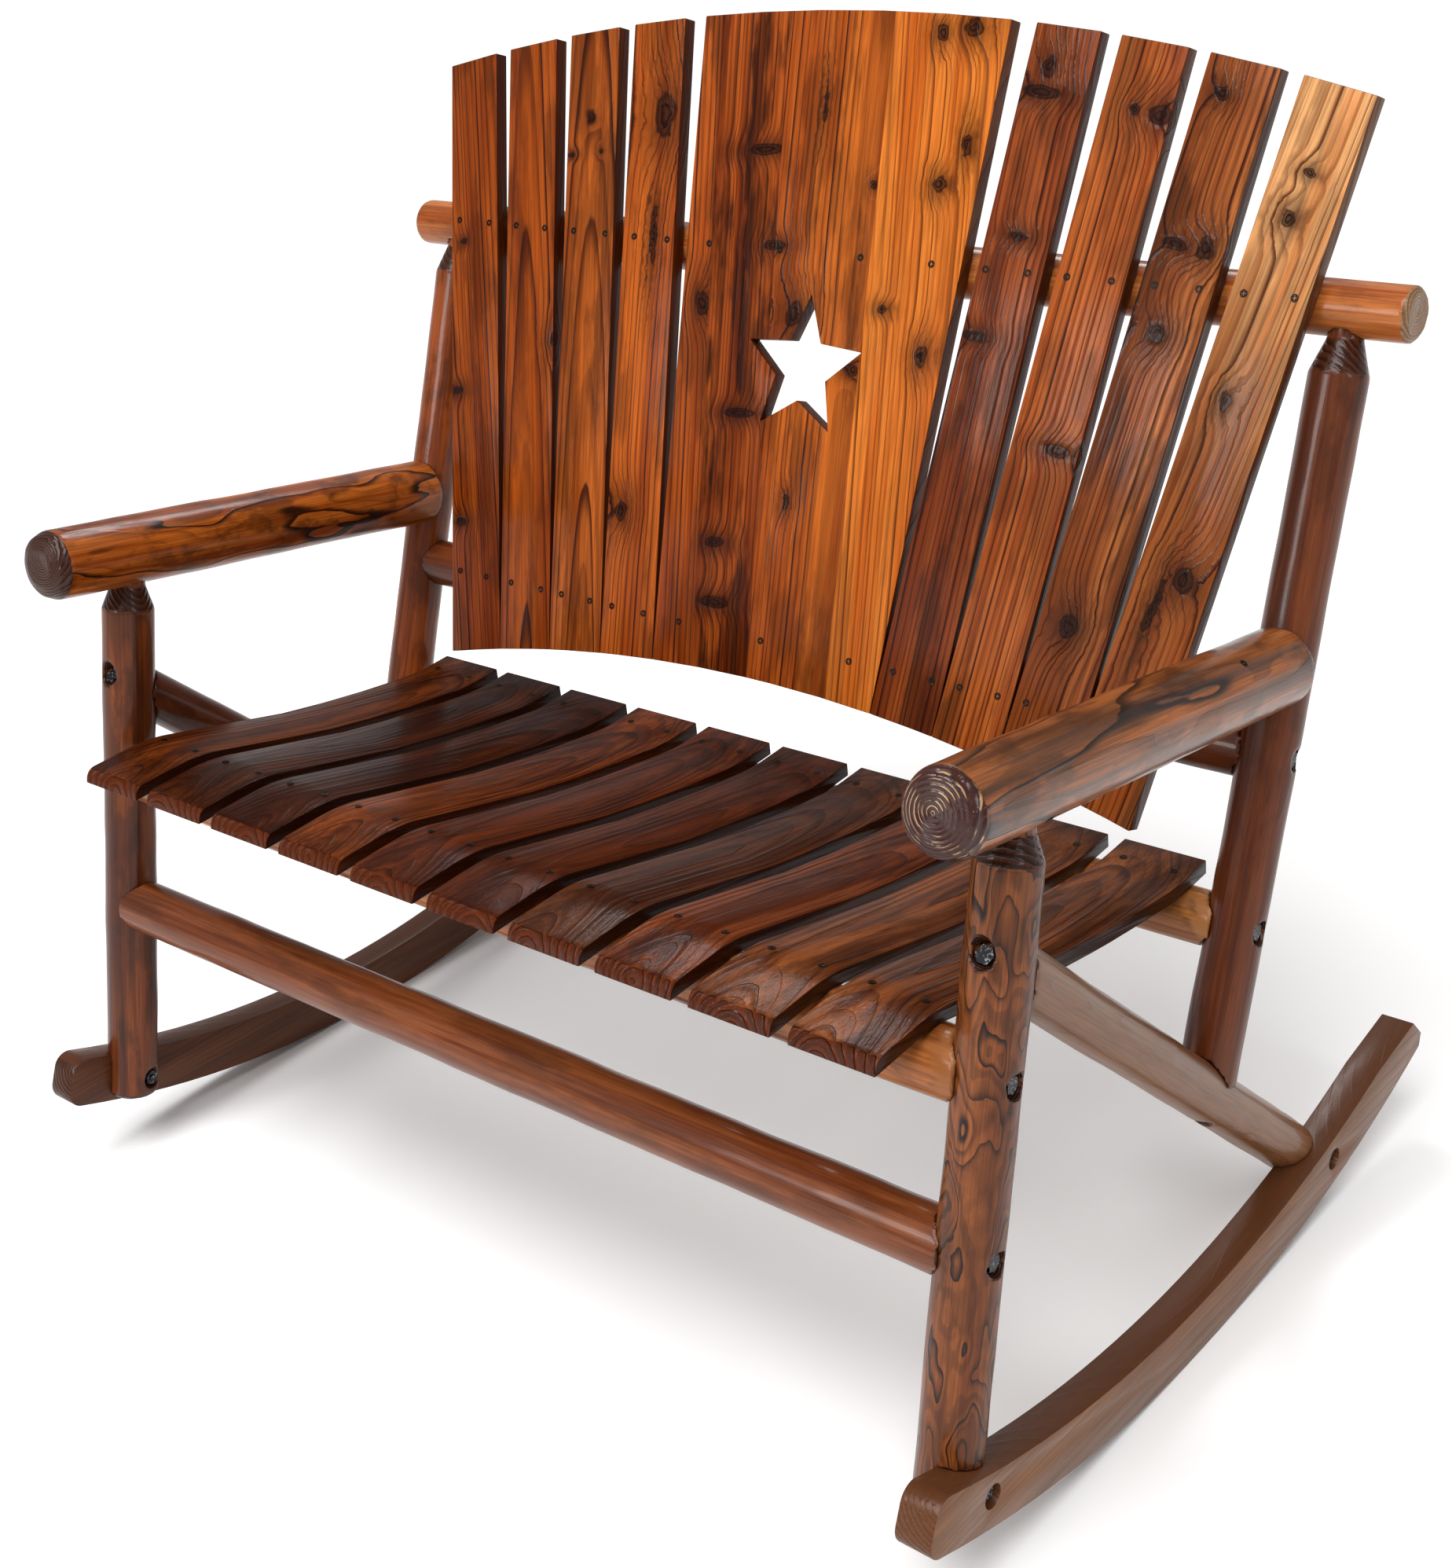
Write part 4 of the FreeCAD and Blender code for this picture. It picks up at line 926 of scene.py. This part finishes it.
def backSeats():
    up = direction(lean["back"])
    out = direction(lean["back"] - 90)
    base = middle("lower_back_rail") + out * backRows["faceReach"] * mm
    found = []
    for row in (backRows["upper"], backRows["lower"]):
        places = [*row["panel"], *row["slats"], *(-place for place in row["slats"])]
        found += [(base + (up * row["rise"] + right * place) * mm, out) for place in places]
    return found


def seatSeats():
    found = []
    for rail, row in seatRows.items():
        way = direction(row["lean"])
        base = middle(rail) + way * row["rise"] * mm
        for number in range(seat["slats"]):
            place = (number - (seat["slats"] - 1) / 2) * seatSpacing["pitch"]
            for offset in (-seatSpacing["pair"], seatSpacing["pair"]):
                found.append((base + right * (place + offset) * mm, way))
    return found


def armrestSeats():
    along = direction(lean["armrest"])
    up = direction(lean["armrest"] - 90)
    y, z = armrestRows["axis"]
    found = []
    for side in (-1, 1):
        base = Vector((side * armrestRows["side"], y, z)) * mm
        for reach, angle in armrestRows["places"]:
            turned = math.radians(angle)
            way = right * side * math.cos(turned) + up * math.sin(turned)
            found.append((base + (along * reach + way * armrestRows["radius"]) * mm, way))
    return found


def makeScrews():
    steel = steelMaterial("screw_steel")
    pattern = makeScrewHead()
    screwGroup("back_screws", pattern, backSeats(), steel)
    screwGroup("seat_screws", pattern, seatSeats(), steel)
    screwGroup("armrest_screws", pattern, armrestSeats(), steel)
    bpy.data.objects.remove(pattern)
    print("screws made")


# Studio

studio = {
    "floorSize": 240.0,
    "cameraPlace": (1.4672, -1.69244, 1.52140),
    "cameraTurn": (66.34504, 4.786914, 41.738939),
    "lens": 51.4459,
    "shift": (0.087664, -0.035534),
    "skyStrength": 0.4,
    "daylight": 2.5,
    "daylightFrom": (0.2, -1.2, 2.2),
    "daylightSpread": 40,
    "paper": ((250, 250, 250), (253, 253, 253)),
}

softboxes = {
    "key_softbox": {"place": (-0.8, -2.8, 1.9), "size": (1.0, 0.9), "power": 28},
    "side_softbox": {"place": (3.2, -0.6, 2.4), "size": (0.5, 1.4), "power": 14},
    "top_softbox": {"place": (-1.4, 2.0, 3.2), "size": (1.2, 0.7), "power": 30},
}
softboxTarget = (0, 0, 0.6)


def makeFloor():
    nothing()
    bpy.ops.mesh.primitive_plane_add(size=studio["floorSize"], location=(0, 0, 0))
    floor = bpy.context.object
    floor.name = "studio_floor"
    paper = bpy.data.materials.new("floor_paper")
    paper.use_nodes = True
    wire = Wiring(paper.node_tree)
    shader = paper.node_tree.nodes["Principled BSDF"]
    place = wire.add("ShaderNodeTexCoord").outputs["Object"]
    dark, light = (tone(*grey) for grey in studio["paper"])
    wire.feed(shader.inputs["Base Color"], wire.mix(wire.noise(place, 3.0, 2.0), dark, light))
    shader.inputs["Roughness"].default_value = 0.8
    shader.inputs["Specular IOR Level"].default_value = 0.2
    floor.data.materials.append(paper)


def placeLamp(name, light, place, target):
    lamp = bpy.data.objects.new(name, light)
    lamp.location = place
    lamp.rotation_euler = (Vector(target) - Vector(place)).to_track_quat("-Z", "Y").to_euler()
    bpy.context.scene.collection.objects.link(lamp)


def makeSoftbox(name, place, size, power):
    light = bpy.data.lights.new(name, "AREA")
    light.shape = "RECTANGLE"
    light.size, light.size_y = size
    light.energy = power
    placeLamp(name, light, place, softboxTarget)


def makeStudio():
    scene = bpy.context.scene
    makeFloor()
    world = bpy.data.worlds.new("studio_sky")
    world.use_nodes = True
    sky = world.node_tree.nodes["Background"]
    sky.inputs["Color"].default_value = (1, 1, 1, 1)
    sky.inputs["Strength"].default_value = studio["skyStrength"]
    scene.world = world
    daylight = bpy.data.lights.new("soft_daylight", "SUN")
    daylight.energy = studio["daylight"]
    daylight.angle = math.radians(studio["daylightSpread"])
    placeLamp("soft_daylight", daylight, studio["daylightFrom"], (0, 0, 0))
    for name, softbox in softboxes.items():
        makeSoftbox(name, **softbox)
    camera = bpy.data.cameras.new("photograph_view")
    camera.lens = studio["lens"]
    camera.shift_x, camera.shift_y = studio["shift"]
    holder = bpy.data.objects.new("photograph_view", camera)
    holder.location = studio["cameraPlace"]
    holder.rotation_euler = [math.radians(turn) for turn in studio["cameraTurn"]]
    scene.collection.objects.link(holder)
    scene.camera = holder
    scene.view_settings.view_transform = "Standard"
    print("studio made")


makeLogs()
makeRockers()
makeSeat()
makeBack()
makeBolts()
makeScrews()
makeStudio()
